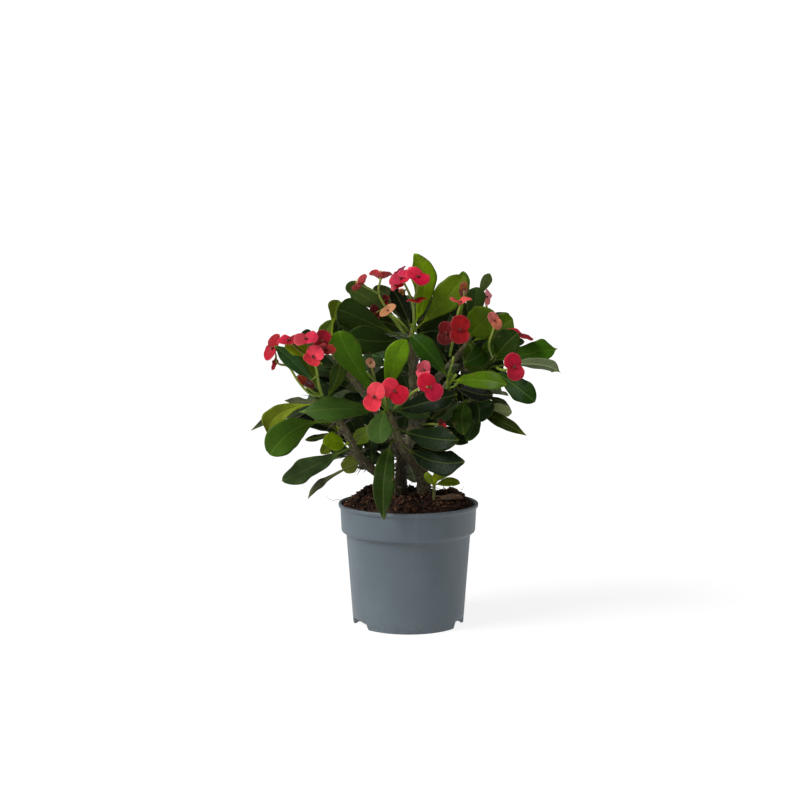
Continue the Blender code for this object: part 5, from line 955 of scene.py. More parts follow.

# inflorescences: node, stalks, flowers (centre, face, bract axis, bract length and width,
# cup, share of the second bract, foot of its own stalk, the two bract colours)
# the bract colours are partly the bracts' own reds, partly painted light and shade for how lit each bract stands
INFLORESCENCES = [
    ("flowers_top_left", [
        ([(-2.9, -8, 248.2), (-8.8, -6, 254.9), (-15.6, -6, 265), (-24.9, -6, 281.8), (-23.6, -5, 294.4)], [1.1, 1, 1, 1, 1]),
        ([(-24.9, -6, 281.8), (-32.4, -8, 286), (-37.8, -10, 288.5)], [1, 1, 1]),
        ([(-2.9, -8, 248.2), (-8.8, -12, 257.6), (-14.7, -14, 265.2)], [1, 1, 1]),
    ], [
        ((-40.3, -10, 289.8), (-0.62, 0.42, 0.66), (0.59, -0.3, 0.75), 9.5, 12, 16, 0.85, (-37.8, -10, 288.5), "#df3846", "#9d070a"),
        ((-23.7, 4, 296.6), (0.05, 0.48, 0.87), (0.99, 0.08, -0.1), 10, 12.5, 20, 1.0, (-23.6, -5, 294.4), "#af0816", "#d81433"),
        ((-19.9, 2, 276.7), (0.23, -0.91, 0.34), (0.31, 0.4, 0.86), 5, 7, 8, 1.0, (-21.5, -6, 275.8), "#540f09", "#810707"),
        ((-17.2, -14, 268.1), (-0.44, -0.82, 0.38), (0.83, -0.2, 0.52), 8, 8, 8, 1.0, (-14.7, -14, 265.2), "#a8744a", "#9b6539"),
        ((-29.2, -2, 264.9), (0.31, -0.94, 0.1), (-0, 0.11, 0.99), 8, 9, 10, 1.0, (-18.7, -6, 270.7), "#540707", "#5a0810"),
    ]),
    ("flowers_top_centre", [
        ([(4.7, -5, 251.5), (4.7, -8, 263.4), (3.8, -10, 272.6), (0.4, -11, 282.7), (-4.6, -12, 292.7)], [1.3, 1.3, 1.2, 1.1, 1]),
        ([(3.8, -10, 272.6), (6.3, -13, 282.7), (7.9, -15, 292.7)], [1.1, 1.1, 1]),
    ], [
        ((-6.3, -14, 294), (-0.32, -0.53, 0.79), (0.95, -0.11, 0.31), 10.5, 17, 12, 1.0, (-4.6, -12, 292.7), "#ab102a", "#a5253d"),
        ((7.4, -20, 296), (0.15, -0.72, 0.68), (0.72, -0.39, -0.57), 10.5, 15.5, 6, 1.0, (7.9, -15, 292.7), "#b0082e", "#b81c36"),
        ((0.4, -10, 299), (-0.1, -0.5, 0.86), (0.97, 0.16, 0.21), 9.5, 14, 10, 1.0, (-4.6, -12, 292.7), "#da4d67", "#bf2a49"),
        ((-8, -2, 299.9), (-0.45, -0.36, 0.81), (0.68, 0.45, 0.58), 8, 8, 8, 0.7, (-4.6, -12, 292.7), "#75263e", "#841421"),
        ((-9.7, -10, 288.1), (-0.33, -0.67, 0.67), (0.91, -0.03, 0.42), 7, 8, 8, 0.8, (-3.7, -11.8, 290.9), "#e10721", "#a0333c"),
        ((-5.9, -4, 284.3), (0.24, -0.84, 0.48), (0.47, -0.33, -0.82), 4, 5, 10, 0.6, (-1.2, -11.3, 285.9), "#8e622d", "#c3684e"),
        ((7.1, -14, 275.6), (0, -0.33, 0.94), (0.93, 0.36, 0.13), 9, 9, 16, 1.0, (4.8, -11.3, 277), "#850707", "#9e0714"),
    ]),
    ("flowers_right_upper", [
        ([(35.6, 4, 229), (38.4, -8, 246.5), (40.5, -18, 261.9), (42.7, -23, 272)], [1.2, 1.1, 1.1, 1]),
    ], [
        ((43.1, -24, 274.5), (0.05, -0.29, 0.96), (0.99, 0.16, -0), 10, 12, 26, 1.0, (42.7, -23, 272), "#c04a44", "#c04a44"),
        ((46.6, -10, 286), (-0.53, -0.84, 0.11), (0.17, 0.01, 0.98), 6.5, 8, 12, 1.0, (42.7, -23, 272), "#653413", "#481a08"),
        ((42.8, -22, 252.4), (0.02, -0.99, 0.12), (0.04, 0.12, 0.99), 12, 16.5, 5, 1.0, (39.9, -15, 257.4), "#85070e", "#80070e"),
        ((31.5, -14, 249.2), (-0.2, -0.98, 0.1), (0.18, 0.06, 0.98), 10, 14, 6, 1.0, (39, -10.6, 250.5), "#620707", "#4e0707"),
    ]),
    ("flowers_right_back", [
        ([(68.8, 15, 223.2), (78.9, 12, 235.4), (86.7, 4, 242.6), (92.2, -1, 247.9)], [1.2, 1.1, 1, 1]),
        ([(70.8, 14.4, 225.6), (71.8, 22, 237.6), (70.4, 28, 254.7), (67.7, 28, 273.8)], [1.1, 1.1, 1, 1]),
        ([(72, 14, 227.1), (67.6, -14, 239.2), (71, -24, 253.8)], [1.05, 1, 1]),
    ], [
        ((68.1, 28, 279), (0.78, -0.59, 0.2), (0.12, 0.46, 0.88), 7.5, 10, 8, 1.0, (67.7, 28, 273.8), "#e1888d", "#db7870"),
        ((71.2, -26, 259.6), (0.32, -0.89, 0.32), (0.46, -0.15, -0.88), 8, 10, 8, 1.0, (71, -24, 253.8), "#b36349", "#ad5c54"),
        ((93.6, -9, 247.4), (0.35, -0.3, 0.89), (0.87, -0.26, -0.42), 12, 14, 6, 1.0, (92.2, -1, 247.9), "#7e0911", "#b0142c"),
    ]),
    ("flowers_right", [
        ([(74.8, -10, 219.6), (78.4, -28, 219), (84.3, -46, 221)], [1.1, 1.1, 1]),
    ], [
        ((85.6, -50, 222.9), (0.05, -0.99, 0.1), (0.25, -0.08, -0.96), 11.5, 14.5, 5, 1.0, (84.3, -46, 221), "#941026", "#960724"),
    ]),
    ("flowers_left", [
        ([(-70.1, -34, 193.7), (-73.5, -44, 207.8), (-74.8, -54, 220.7), (-76.9, -64, 230.2)], [1.2, 1.2, 1.1, 1]),
        ([(-71.5, -37.5, 198.2), (-81, -42, 200.2), (-90.9, -41, 210.8), (-98.6, -37, 222.1), (-106.2, -34, 224), (-109.5, -34, 226.5)], [1.1, 1, 1, 1, 0.9, 0.9]),
    ], [
        ((-111.7, -40, 237.9), (-0.71, -0.61, 0.35), (0.47, -0.04, 0.88), 12.5, 16, 6, 0.9, (-109.5, -34, 226.5), "#870716", "#98071f"),
        ((-96.4, -60, 244.5), (-0.16, -0.52, 0.84), (0.98, -0.17, 0.07), 10, 13, 10, 1.0, (-76.9, -64, 230.2), "#840b1a", "#ad1b31"),
        ((-82.3, -66, 245.9), (-0.11, -0.59, 0.8), (0.99, 0.01, 0.14), 10, 15.5, 8, 1.0, (-76.9, -64, 230.2), "#b9223e", "#a72e3c"),
        ((-70.5, -50, 244), (0.29, -0.93, 0.23), (0.28, 0.31, 0.91), 9.5, 13, 8, 1.0, (-76.7, -62.9, 229.1), "#850b1d", "#730707"),
        ((-66.7, -59.5, 237.2), (0.05, -0.65, 0.76), (0.99, -0.07, -0.13), 8, 12, 8, 1.0, (-76.9, -64, 230.2), "#93271d", "#9e3337"),
        ((-76.2, -69, 232.1), (-0.15, -0.98, 0.1), (0.47, 0.02, 0.88), 9.5, 15, 5, 0.72, (-76.9, -64, 230.2), "#dc3b4e", "#b5202c"),
        ((-111.2, -34, 225.2), (0.93, -0.36, 0.05), (0.2, 0.62, 0.76), 7.5, 7, 2, 0.9, (-109.5, -34, 226.5), "#e1274e", "#d43749"),
        ((-83.2, -57, 210.4), (0.11, -0.84, 0.53), (0.81, -0.23, -0.54), 8.5, 7, 16, 1.0, (-74.4, -50.6, 216.2), "#2f0707", "#641e07"),
    ]),
    ("flowers_centre", [
        ([(-18.9, -18, 187.2), (-19.5, -40, 195.1), (-19.3, -54, 201.2)], [1.2, 1.1, 1]),
        ([(-18.9, -18, 187.2), (-26.4, -22, 205.2), (-31.2, -28, 223.2)], [1, 1, 1]),
    ], [
        ((-27.7, -60, 199.3), (-0.15, -0.98, 0.1), (0.31, 0.05, 0.95), 12, 15, 5, 1.0, (-19.3, -54, 201.2), "#d83f4a", "#d02d3e"),
        ((-11.6, -56, 203.4), (0.19, -0.95, 0.24), (0.79, 0, -0.62), 12, 17, 6, 1.0, (-19.3, -54, 201.2), "#b31029", "#cf283e"),
        ((-31.1, -34, 225.2), (-0.51, -0.77, 0.38), (0.52, -0.63, -0.57), 5.5, 7, 10, 1.0, (-31.2, -28, 223.2), "#926c50", "#a77251"),
    ]),
    ("flowers_centre_right", [
        ([(-12.2, -16, 186.2), (-5.5, -36, 193.1), (2.6, -48, 201.5), (9.9, -52, 205.9), (14.8, -54, 206.9)], [1.2, 1.1, 1, 1, 1]),
    ], [
        ((17.2, -54, 206.9), (0.1, -0.99, 0.1), (0.62, -0.02, -0.79), 12.5, 15.5, 5, 1.0, (14.8, -54, 206.9), "#a00e2e", "#b30b2b"),
        ((12.4, -46, 220.2), (-0.33, -0.83, 0.44), (0.11, 0.43, 0.89), 8, 12, 8, 1.0, (12.3, -53, 206.4), "#a53744", "#c94051"),
    ]),
    ("flowers_low_right_buds", [
        ([(10.9, 6, 170.3), (20, -8, 171.8), (26.6, -16, 171.8)], [1, 1, 1]),
    ], [
        ((27.6, -36, 174), (0.21, -0.93, 0.31), (0.33, -0.23, -0.91), 5, 6, 14, 1.0, (26.6, -16, 171.8), "#b0142c", "#51160f"),
    ]),
]

# inflorescences at the back: node, stalk, radii, fork, direction, flowers, reach, start
FANS = [
    ("flowers_rear_left", [(-59.9, 36, 220.2), (-62.1, 46, 232), (-60.5, 50, 243.4)], [1.2, 1.2, 1.2], (-60.5, 50, 243.4), (-0.3, 0.6, 0.75), 3, 9, 0.4),
    ("flowers_rear_right", [(51.9, 56, 217.2), (59.4, 62, 231.3), (63, 64, 243.8)], [1.2, 1.2, 1.2], (63, 64, 243.8), (0.35, 0.6, 0.7), 3, 9, 1.3),
]

# leaves of the inner twigs that fill the crown
# their mostly very dark tints are painted shade for the inside of the crown
FILL = {
    "leaves_inner_left": [
        ((-30.7, -14.7, 138.7), (-31.8, -4.9, 156.3), (-32.9, 4.8, 168.4), 16, (-0.32, -0.8, 0.51), "#1b2a12", 0.58, 0.08, 9, -11, 0.7),
        ((-38.2, -15.4, 145), (-45.8, -0.2, 166.2), (-53.5, 15, 179), 20, (0.11, -0.72, 0.69), "#1a2812", 0.62, 0.08, 6, -2, 0.5),
        ((1.9, 12.5, 191.4), (-4.7, 22, 211), (-11.3, 31.4, 223.4), 17, (0.11, -0.84, 0.54), "#203216", 0.66, 0.08, 8, -11, 0.8),
        ((-44.1, 15.4, 197.6), (-67.5, 17.8, 210.1), (-91, 20.2, 214.3), 22, (0.2, -0.63, 0.75), "#26381a", 0.67, 0.08, 6, -2, 0.8),
        ((-56.7, 9.9, 214.3), (-78.1, 4.7, 226.4), (-99.6, -0.5, 232.4), 21, (0.44, -0.46, 0.77), "#26381a", 0.6, 0.08, 14, -1, 0.5),
        ((-59.9, -15.4, 162.1), (-76.9, -0.4, 170.8), (-94, 14.6, 171), 19, (-0.17, -0.45, 0.88), "#1b2a12", 0.61, 0.08, 9, -1, 0.6),
        ((-63.5, -22.7, 183.9), (-74.8, -11.7, 199.1), (-86.2, -0.7, 209.3), 20, (0.1, -0.71, 0.7), "#1b2a12", 0.59, 0.08, 14, -9, 0.8),
        ((-22.4, 20.6, 165.9), (-39.1, 28.1, 183), (-55.8, 35.5, 193.8), 19, (0.32, -0.62, 0.72), "#203216", 0.65, 0.08, 7, -10, 1.0),
        ((-45.4, -16.8, 145.9), (-57.7, -9.4, 150.1), (-70, -2, 152.4), 12, (-0.2, -0.65, 0.74), "#203216", 0.58, 0.08, 9, 4, 0.7),
        ((0.1, 15, 157), (-19.4, 5.3, 151.3), (-38.9, -4.4, 142.1), 20, (-0.24, -0.24, 0.94), "#1b2a12", 0.6, 0.08, 14, -8, 0.8),
        ((-43.3, 13.9, 208.4), (-31.9, 20.5, 225.2), (-20.5, 27.1, 238.2), 19, (-0.19, -0.83, 0.52), "#26381a", 0.62, 0.08, 9, -8, 0.7),
        ((-43.7, -15.8, 147), (-56.4, -1.4, 162.2), (-69.1, 13, 169.9), 19, (0.19, -0.5, 0.84), "#16220e", 0.64, 0.08, 6, 11, 0.4),
        ((-68.9, -25.5, 187.8), (-86.9, -7.9, 183.1), (-104.9, 9.7, 175.9), 23, (-0.53, -0.27, 0.8), "#1a2812", 0.67, 0.08, 12, -11, 0.8),
        ((17.6, 26.9, 173.2), (3.4, 25, 191.4), (-10.9, 23.1, 207), 18, (0.61, -0.65, 0.44), "#1a2812", 0.64, 0.08, 7, -12, 0.6),
        ((-46, -17.7, 145.5), (-61.8, -8.7, 142.3), (-77.7, 0.2, 133.2), 15, (-0.37, -0.01, 0.93), "#203216", 0.63, 0.08, 14, 10, 0.7),
        ((-46.6, 14.4, 200.8), (-67.8, 19.8, 196.8), (-88.9, 25.2, 188.4), 16, (-0.36, -0.6, 0.71), "#203216", 0.63, 0.08, 15, 9, 1.1),
        ((-51.4, 12.5, 207.4), (-74.3, 11.9, 212.2), (-97.2, 11.3, 210.4), 18, (0.07, -0.29, 0.96), "#1a2812", 0.63, 0.08, 11, -7, 0.5),
        ((-60.7, -15, 167.1), (-78.1, -6.5, 175.2), (-95.5, 2, 177.1), 16, (0.05, -0.43, 0.9), "#1b2a12", 0.63, 0.08, 9, -5, 0.5),
        ((-70.6, -50, 225.3), (-84.6, -57, 237.1), (-100.2, -58, 240.3), 14, (0.32, -0.94, 0.12), "#6c7a06", 0.64, 0.08, 8, 5, 0.9),
    ],
    "leaves_inner_right": [
        ((-28.7, 14, 187.5), (-5, 5.5, 186.7), (18.6, -3, 177), 23, (-0.1, -0.7, 0.7), "#26381a", 0.63, 0.08, 8, 2, 0.9),
        ((9.3, 13.5, 177.4), (29.9, 19.6, 173.2), (50.6, 25.6, 164.3), 17, (0.39, -0.51, 0.76), "#26381a", 0.64, 0.08, 12, -10, 0.7),
        ((43.5, 20, 188.6), (27.8, 22.8, 208.3), (12, 25.6, 221.7), 22, (0.36, -0.8, 0.48), "#1a2812", 0.65, 0.08, 9, 8, 0.7),
        ((17.3, 23.3, 161.9), (33.8, 27.1, 161.9), (50.2, 31, 156.6), 13, (0.25, -0.54, 0.8), "#16220e", 0.61, 0.08, 13, 8, 0.8),
        ((40.9, 17.2, 222), (64.4, 27.8, 229.3), (87.9, 38.3, 231.1), 23, (0.06, -0.5, 0.86), "#26381a", 0.6, 0.08, 8, 6, 1.1),
        ((-6.9, 16.5, 149.3), (8.7, 19.7, 147.8), (24.3, 23, 141.3), 13, (0.31, -0.59, 0.74), "#16220e", 0.6, 0.08, 7, 12, 0.5),
        ((34.9, -10, 206.3), (57.3, 2.7, 204.3), (79.8, 15.5, 195.2), 23, (0.07, 0.29, 0.95), "#203216", 0.66, 0.08, 10, 3, 0.9),
        ((7.6, 13.4, 200), (16.4, 22.3, 222.5), (25.2, 31.2, 237.6), 17, (-0.29, -0.8, 0.52), "#1a2812", 0.67, 0.08, 10, -6, 0.9),
        ((6.1, 10, 159), (24.1, 0.6, 175.1), (42.2, -8.8, 189), 23, (-0.68, -0.56, 0.47), "#1b2a12", 0.68, 0.08, 13, 3, 0.9),
        ((33.2, -9.1, 207.5), (37.7, 12.1, 218.1), (42.2, 33.2, 225.4), 18, (-0.35, -0.3, 0.89), "#26381a", 0.58, 0.08, 8, 12, 0.9),
        ((14.4, 19, 161), (32.8, 10.6, 159.8), (51.2, 2.1, 154.2), 18, (-0.05, -0.47, 0.88), "#26381a", 0.66, 0.08, 8, -11, 0.8),
        ((41.8, 22.2, 181.1), (65.2, 25.5, 184.6), (88.5, 28.9, 182.2), 19, (0.03, -0.33, 0.94), "#1b2a12", 0.59, 0.08, 8, 10, 1.0),
        ((56.7, 12.8, 221.1), (78.4, 12.7, 235.1), (100.1, 12.5, 241), 18, (-0.35, -0.56, 0.75), "#203216", 0.68, 0.08, 13, -1, 0.6),
        ((53.2, 14, 223.2), (69.9, 6, 235.7), (89.1, 2, 250.4), 15, (-0.25, -0.96, -0.09), "#3a5a12", 0.64, 0.08, 8, 5, 0.5),
    ],
    "leaves_inner_top": [
        ((52.2, 16.3, 245.5), (51.5, 25.8, 261.1), (50.9, 35.3, 273.9), 15, (-0.07, -0.83, 0.55), "#26381a", 0.67, 0.08, 15, -3, 0.6),
        ((33.5, 16.6, 222.9), (21.3, 26.3, 240.7), (9.1, 36, 253.5), 19, (-0.01, -0.85, 0.53), "#1b2a12", 0.58, 0.08, 11, -10, 0.9),
        ((1.9, 7.3, 239.6), (0.5, 20, 263.1), (-0.8, 32.7, 280.6), 20, (-0.12, -0.85, 0.52), "#203216", 0.62, 0.08, 14, 0, 0.8),
        ((-52.8, 13.4, 218.1), (-58, 24.5, 240.6), (-63.2, 35.5, 260.4), 20, (0.39, -0.78, 0.5), "#1b2a12", 0.61, 0.08, 10, 4, 0.9),
        ((55.6, 16.3, 243.5), (71.7, 25.1, 257), (87.7, 33.9, 265), 19, (-0.23, -0.56, 0.8), "#16220e", 0.64, 0.08, 8, 9, 0.7),
        ((48.6, 14.1, 221.6), (65, 19.5, 240.1), (81.4, 24.9, 254.6), 22, (-0.53, -0.5, 0.69), "#1b2a12", 0.63, 0.08, 14, 12, 0.8),
        ((52, 15.8, 245.8), (40.2, 26.5, 269.7), (28.4, 37.2, 284.7), 21, (0.21, -0.8, 0.57), "#16220e", 0.63, 0.08, 13, 11, 0.4),
        ((4.4, 3.7, 245.4), (24.2, 14.6, 252.5), (44, 25.4, 252.5), 20, (0.08, -0.44, 0.89), "#203216", 0.67, 0.08, 12, 4, 0.9),
        ((45.3, 14, 262.9), (46.7, 10, 283.4), (46.6, 8, 301.3), 12, (-0.05, -0.99, -0.15), "#4c6a14", 0.64, 0.08, 8, 5, 0.5),
    ],
    "leaves_inner_rear": [
        ((-26.6, 18.8, 183.8), (-21.5, 29.7, 201.4), (-16.5, 40.7, 216.8), 22, (0.13, -0.84, 0.52), "#1b2a12", 0.63, 0.08, 15, -2, 0.9),
        ((36.2, 18.8, 220.9), (46.8, 35, 237.8), (57.3, 51.3, 247.5), 21, (-0.21, -0.53, 0.82), "#1b2a12", 0.61, 0.08, 10, 11, 0.9),
        ((44.4, 16.2, 235), (40.7, 30.4, 252.7), (36.9, 44.6, 267.1), 19, (-0.21, -0.76, 0.62), "#1b2a12", 0.59, 0.08, 11, -8, 0.5),
        ((-10, 15.5, 138.4), (-27.2, 29.5, 135.9), (-44.4, 43.5, 128.1), 20, (-0.53, -0.38, 0.76), "#16220e", 0.67, 0.08, 6, -5, 0.9),
        ((-7.2, 17.2, 149), (-2.5, 29.7, 172.1), (2.2, 42.1, 186.9), 22, (0.11, -0.84, 0.52), "#26381a", 0.67, 0.08, 9, -4, 0.6),
        ((31, 22.3, 182), (46.1, 34.6, 191.8), (61.2, 47, 199.7), 20, (-0.1, -0.5, 0.86), "#16220e", 0.6, 0.08, 8, -3, 0.9),
        ((58.4, 21.7, 191.5), (69.5, 32.6, 211.4), (80.6, 43.5, 226.7), 22, (-0.02, -0.84, 0.53), "#26381a", 0.6, 0.08, 14, 0, 1.0),
        ((-3.4, 15.7, 156.7), (-24.1, 29.3, 168), (-44.7, 42.9, 172.6), 20, (-0.05, -0.56, 0.83), "#203216", 0.63, 0.08, 9, -3, 1.1),
        ((34.7, 37.3, 191.9), (36.9, 48.4, 211.3), (39.1, 59.6, 225.5), 19, (0.58, -0.71, 0.4), "#1b2a12", 0.6, 0.08, 9, 0, 0.7),
        ((-52.8, 14.4, 212.6), (-70, 32, 221.1), (-87.1, 49.6, 220.8), 22, (-0.25, -0.45, 0.86), "#1a2812", 0.65, 0.08, 9, -10, 0.8),
        ((-16, 29.7, 161.6), (-17.3, 48.8, 177.2), (-18.6, 67.9, 188.3), 22, (0.12, -0.56, 0.82), "#1a2812", 0.68, 0.08, 13, 9, 0.9),
        ((26.6, 18.9, 212.7), (28.6, 41.1, 222.9), (30.6, 63.3, 230.2), 18, (-0.27, -0.33, 0.91), "#16220e", 0.68, 0.08, 10, 5, 0.6),
        ((-14.8, 18.9, 149.9), (-29.4, 34.7, 146.2), (-44, 50.4, 138.5), 17, (-0.16, 0.2, 0.97), "#16220e", 0.65, 0.08, 12, -9, 0.7),
        ((48.1, 21.8, 189.2), (44.3, 36.7, 203.8), (40.5, 51.6, 212.7), 16, (0.53, -0.44, 0.73), "#1a2812", 0.68, 0.08, 13, -5, 0.6),
        ((-6.6, 17.5, 136.6), (-13.5, 39.8, 129.1), (-20.4, 62.1, 118.5), 19, (-0.34, 0.26, 0.9), "#1a2812", 0.66, 0.08, 13, 2, 0.7),
        ((-33.1, 37.2, 182.1), (-53.3, 52.7, 188.1), (-73.4, 68.2, 188.3), 21, (-0.08, -0.29, 0.95), "#26381a", 0.66, 0.08, 11, 0, 0.5),
        ((2.4, 12.2, 218.4), (-1.7, 28.4, 225.5), (-5.8, 44.7, 229.9), 14, (-0.3, -0.39, 0.87), "#1a2812", 0.59, 0.08, 7, -3, 0.7),
        ((-10.2, 30.6, 136.4), (-30.6, 46.8, 135.4), (-51, 63.1, 125), 21, (0.06, 0.39, 0.92), "#1a2812", 0.64, 0.08, 12, -3, 1.1),
        ((-9.2, 34.7, 138.7), (-17.4, 53.9, 141.6), (-25.5, 73, 139.7), 19, (-0.28, -0.14, 0.95), "#1a2812", 0.67, 0.08, 13, -8, 0.9),
        ((31.7, 36.3, 182.5), (33.5, 57.4, 179.8), (35.4, 78.4, 174.1), 18, (0.28, 0.16, 0.95), "#26381a", 0.63, 0.08, 10, -8, 0.5),
        ((40.6, 35.1, 189.1), (64.9, 39, 194), (89.1, 43, 191.5), 19, (-0.08, 0.18, 0.98), "#1b2a12", 0.62, 0.08, 14, 0, 0.6),
        ((-0.4, 18.2, 151.3), (-0.2, 44.9, 153.3), (-0, 71.5, 150.9), 21, (0.38, 0.01, 0.93), "#16220e", 0.59, 0.08, 11, 1, 1.0),
        ((21.2, 30.4, 168.5), (34.5, 50.7, 168.1), (47.9, 70.9, 165.3), 20, (0.27, -0.1, 0.96), "#203216", 0.61, 0.08, 10, -8, 0.6),
        ((24.5, 33.4, 177.3), (13.7, 50.8, 177.4), (3, 68.1, 171.4), 18, (0.03, 0.19, 0.98), "#1a2812", 0.58, 0.08, 14, -10, 0.6),
        ((35.6, 23.1, 182.9), (33.8, 47.8, 188.8), (32.1, 72.4, 186.6), 23, (0.02, -0.07, 1), "#1a2812", 0.61, 0.08, 6, -9, 1.0),
    ],
}
# long spines that stand out from the stems: foot, reach
LONG_SPINES = [
    ((-71.6, -36, 198), (-17.8, -4, 3.6)),
    ((-54.7, -27, 171.3), (-17.1, -6, 4)),
    ((-53.1, -26, 167.8), (-17.2, -6, -1.8)),
    ((-49, -25, 160.2), (-16.4, -6, 2.4)),
    ((-43.2, -24, 152.4), (-13.2, -6, -9.3)),
    ((-39.9, -23, 147.2), (-13.2, -5, 5.7)),
    ((-36.6, -22, 142), (-8.3, -5, -9.4)),
    ((-47.3, -25, 159.3), (11.9, -5, 9.8)),
    ((-40.7, -24, 149.9), (11.8, -5, 5.7)),
    ((-17.3, -18, 159.3), (-12.5, -8, -5.8)),
    ((-18.9, -18, 154.2), (-12.5, -6, -8.5)),
    ((-13.9, -17, 149), (-12.5, -7, -7.6)),
    ((-2.9, -10, 145.5), (-0.9, -8, 13.8)),
    ((3, -10, 151.5), (13.4, -8, -2.4)),
    ((9.9, -9, 148), (15.1, -6, -7.8)),
    ((-8, -16, 162.5), (-10, -8, 6)),
    ((1.4, -8, 132.4), (-10.2, -8, 8)),
    ((-65.5, -27, 187.2), (-14.7, -5, -4.5)),
]
# young flower stalks without a flower yet: points, radii
YOUNG_STALKS = [
    ([(32.4, -15, 202.2), (33.5, -18, 214.2), (36.4, -19, 223.5), (37.7, -18, 228.9)], [1.3, 1.0, 0.8, 1.2]),
    ([(33.2, -15, 204.7), (37.3, -19, 210.9), (39.7, -20, 214.3)], [1.1, 0.9, 1.3]),
    ([(34.1, -15, 203), (39, -18, 204.9), (40.6, -20, 207.6)], [1.1, 0.9, 1.4]),
    ([(-26.3, -26, 208.1), (-30.4, -27, 212.3), (-33.8, -27, 215.6)], [1.0, 0.9, 1.3]),
    ([(-17.2, -18, 189.8), (-23.9, -24, 195.3), (-33.8, -26, 211.4)], [1.3, 1.0, 1.0]),
    ([(-71.6, -36, 196.4), (-79.5, -40, 202.5), (-86.6, -44, 208.6)], [1.1, 1.0, 1.0]),
    ([(-0.4, -8, 251.6), (-6.3, -14, 258.5), (-13, -16, 263.5)], [1.1, 1.0, 0.9]),
]

WORLD_IN = 0.25
KEY = 4.15
FILL_LIGHT = 0.22


# ----------------------------------------------------------------------- pot
def arc_corner(a, b, c, r, n=4):
    """the corner b of a profile, rounded"""
    a, b, c = (np.asarray(p, float) for p in (a, b, c))
    d1, d2 = unit(a - b), unit(c - b)
    r = min(r, 0.45 * np.linalg.norm(a - b), 0.45 * np.linalg.norm(c - b))
    p, q = b + d1 * r, b + d2 * r
    return [(1 - t) ** 2 * p + 2 * t * (1 - t) * b + t * t * q for t in np.linspace(0, 1, n)]


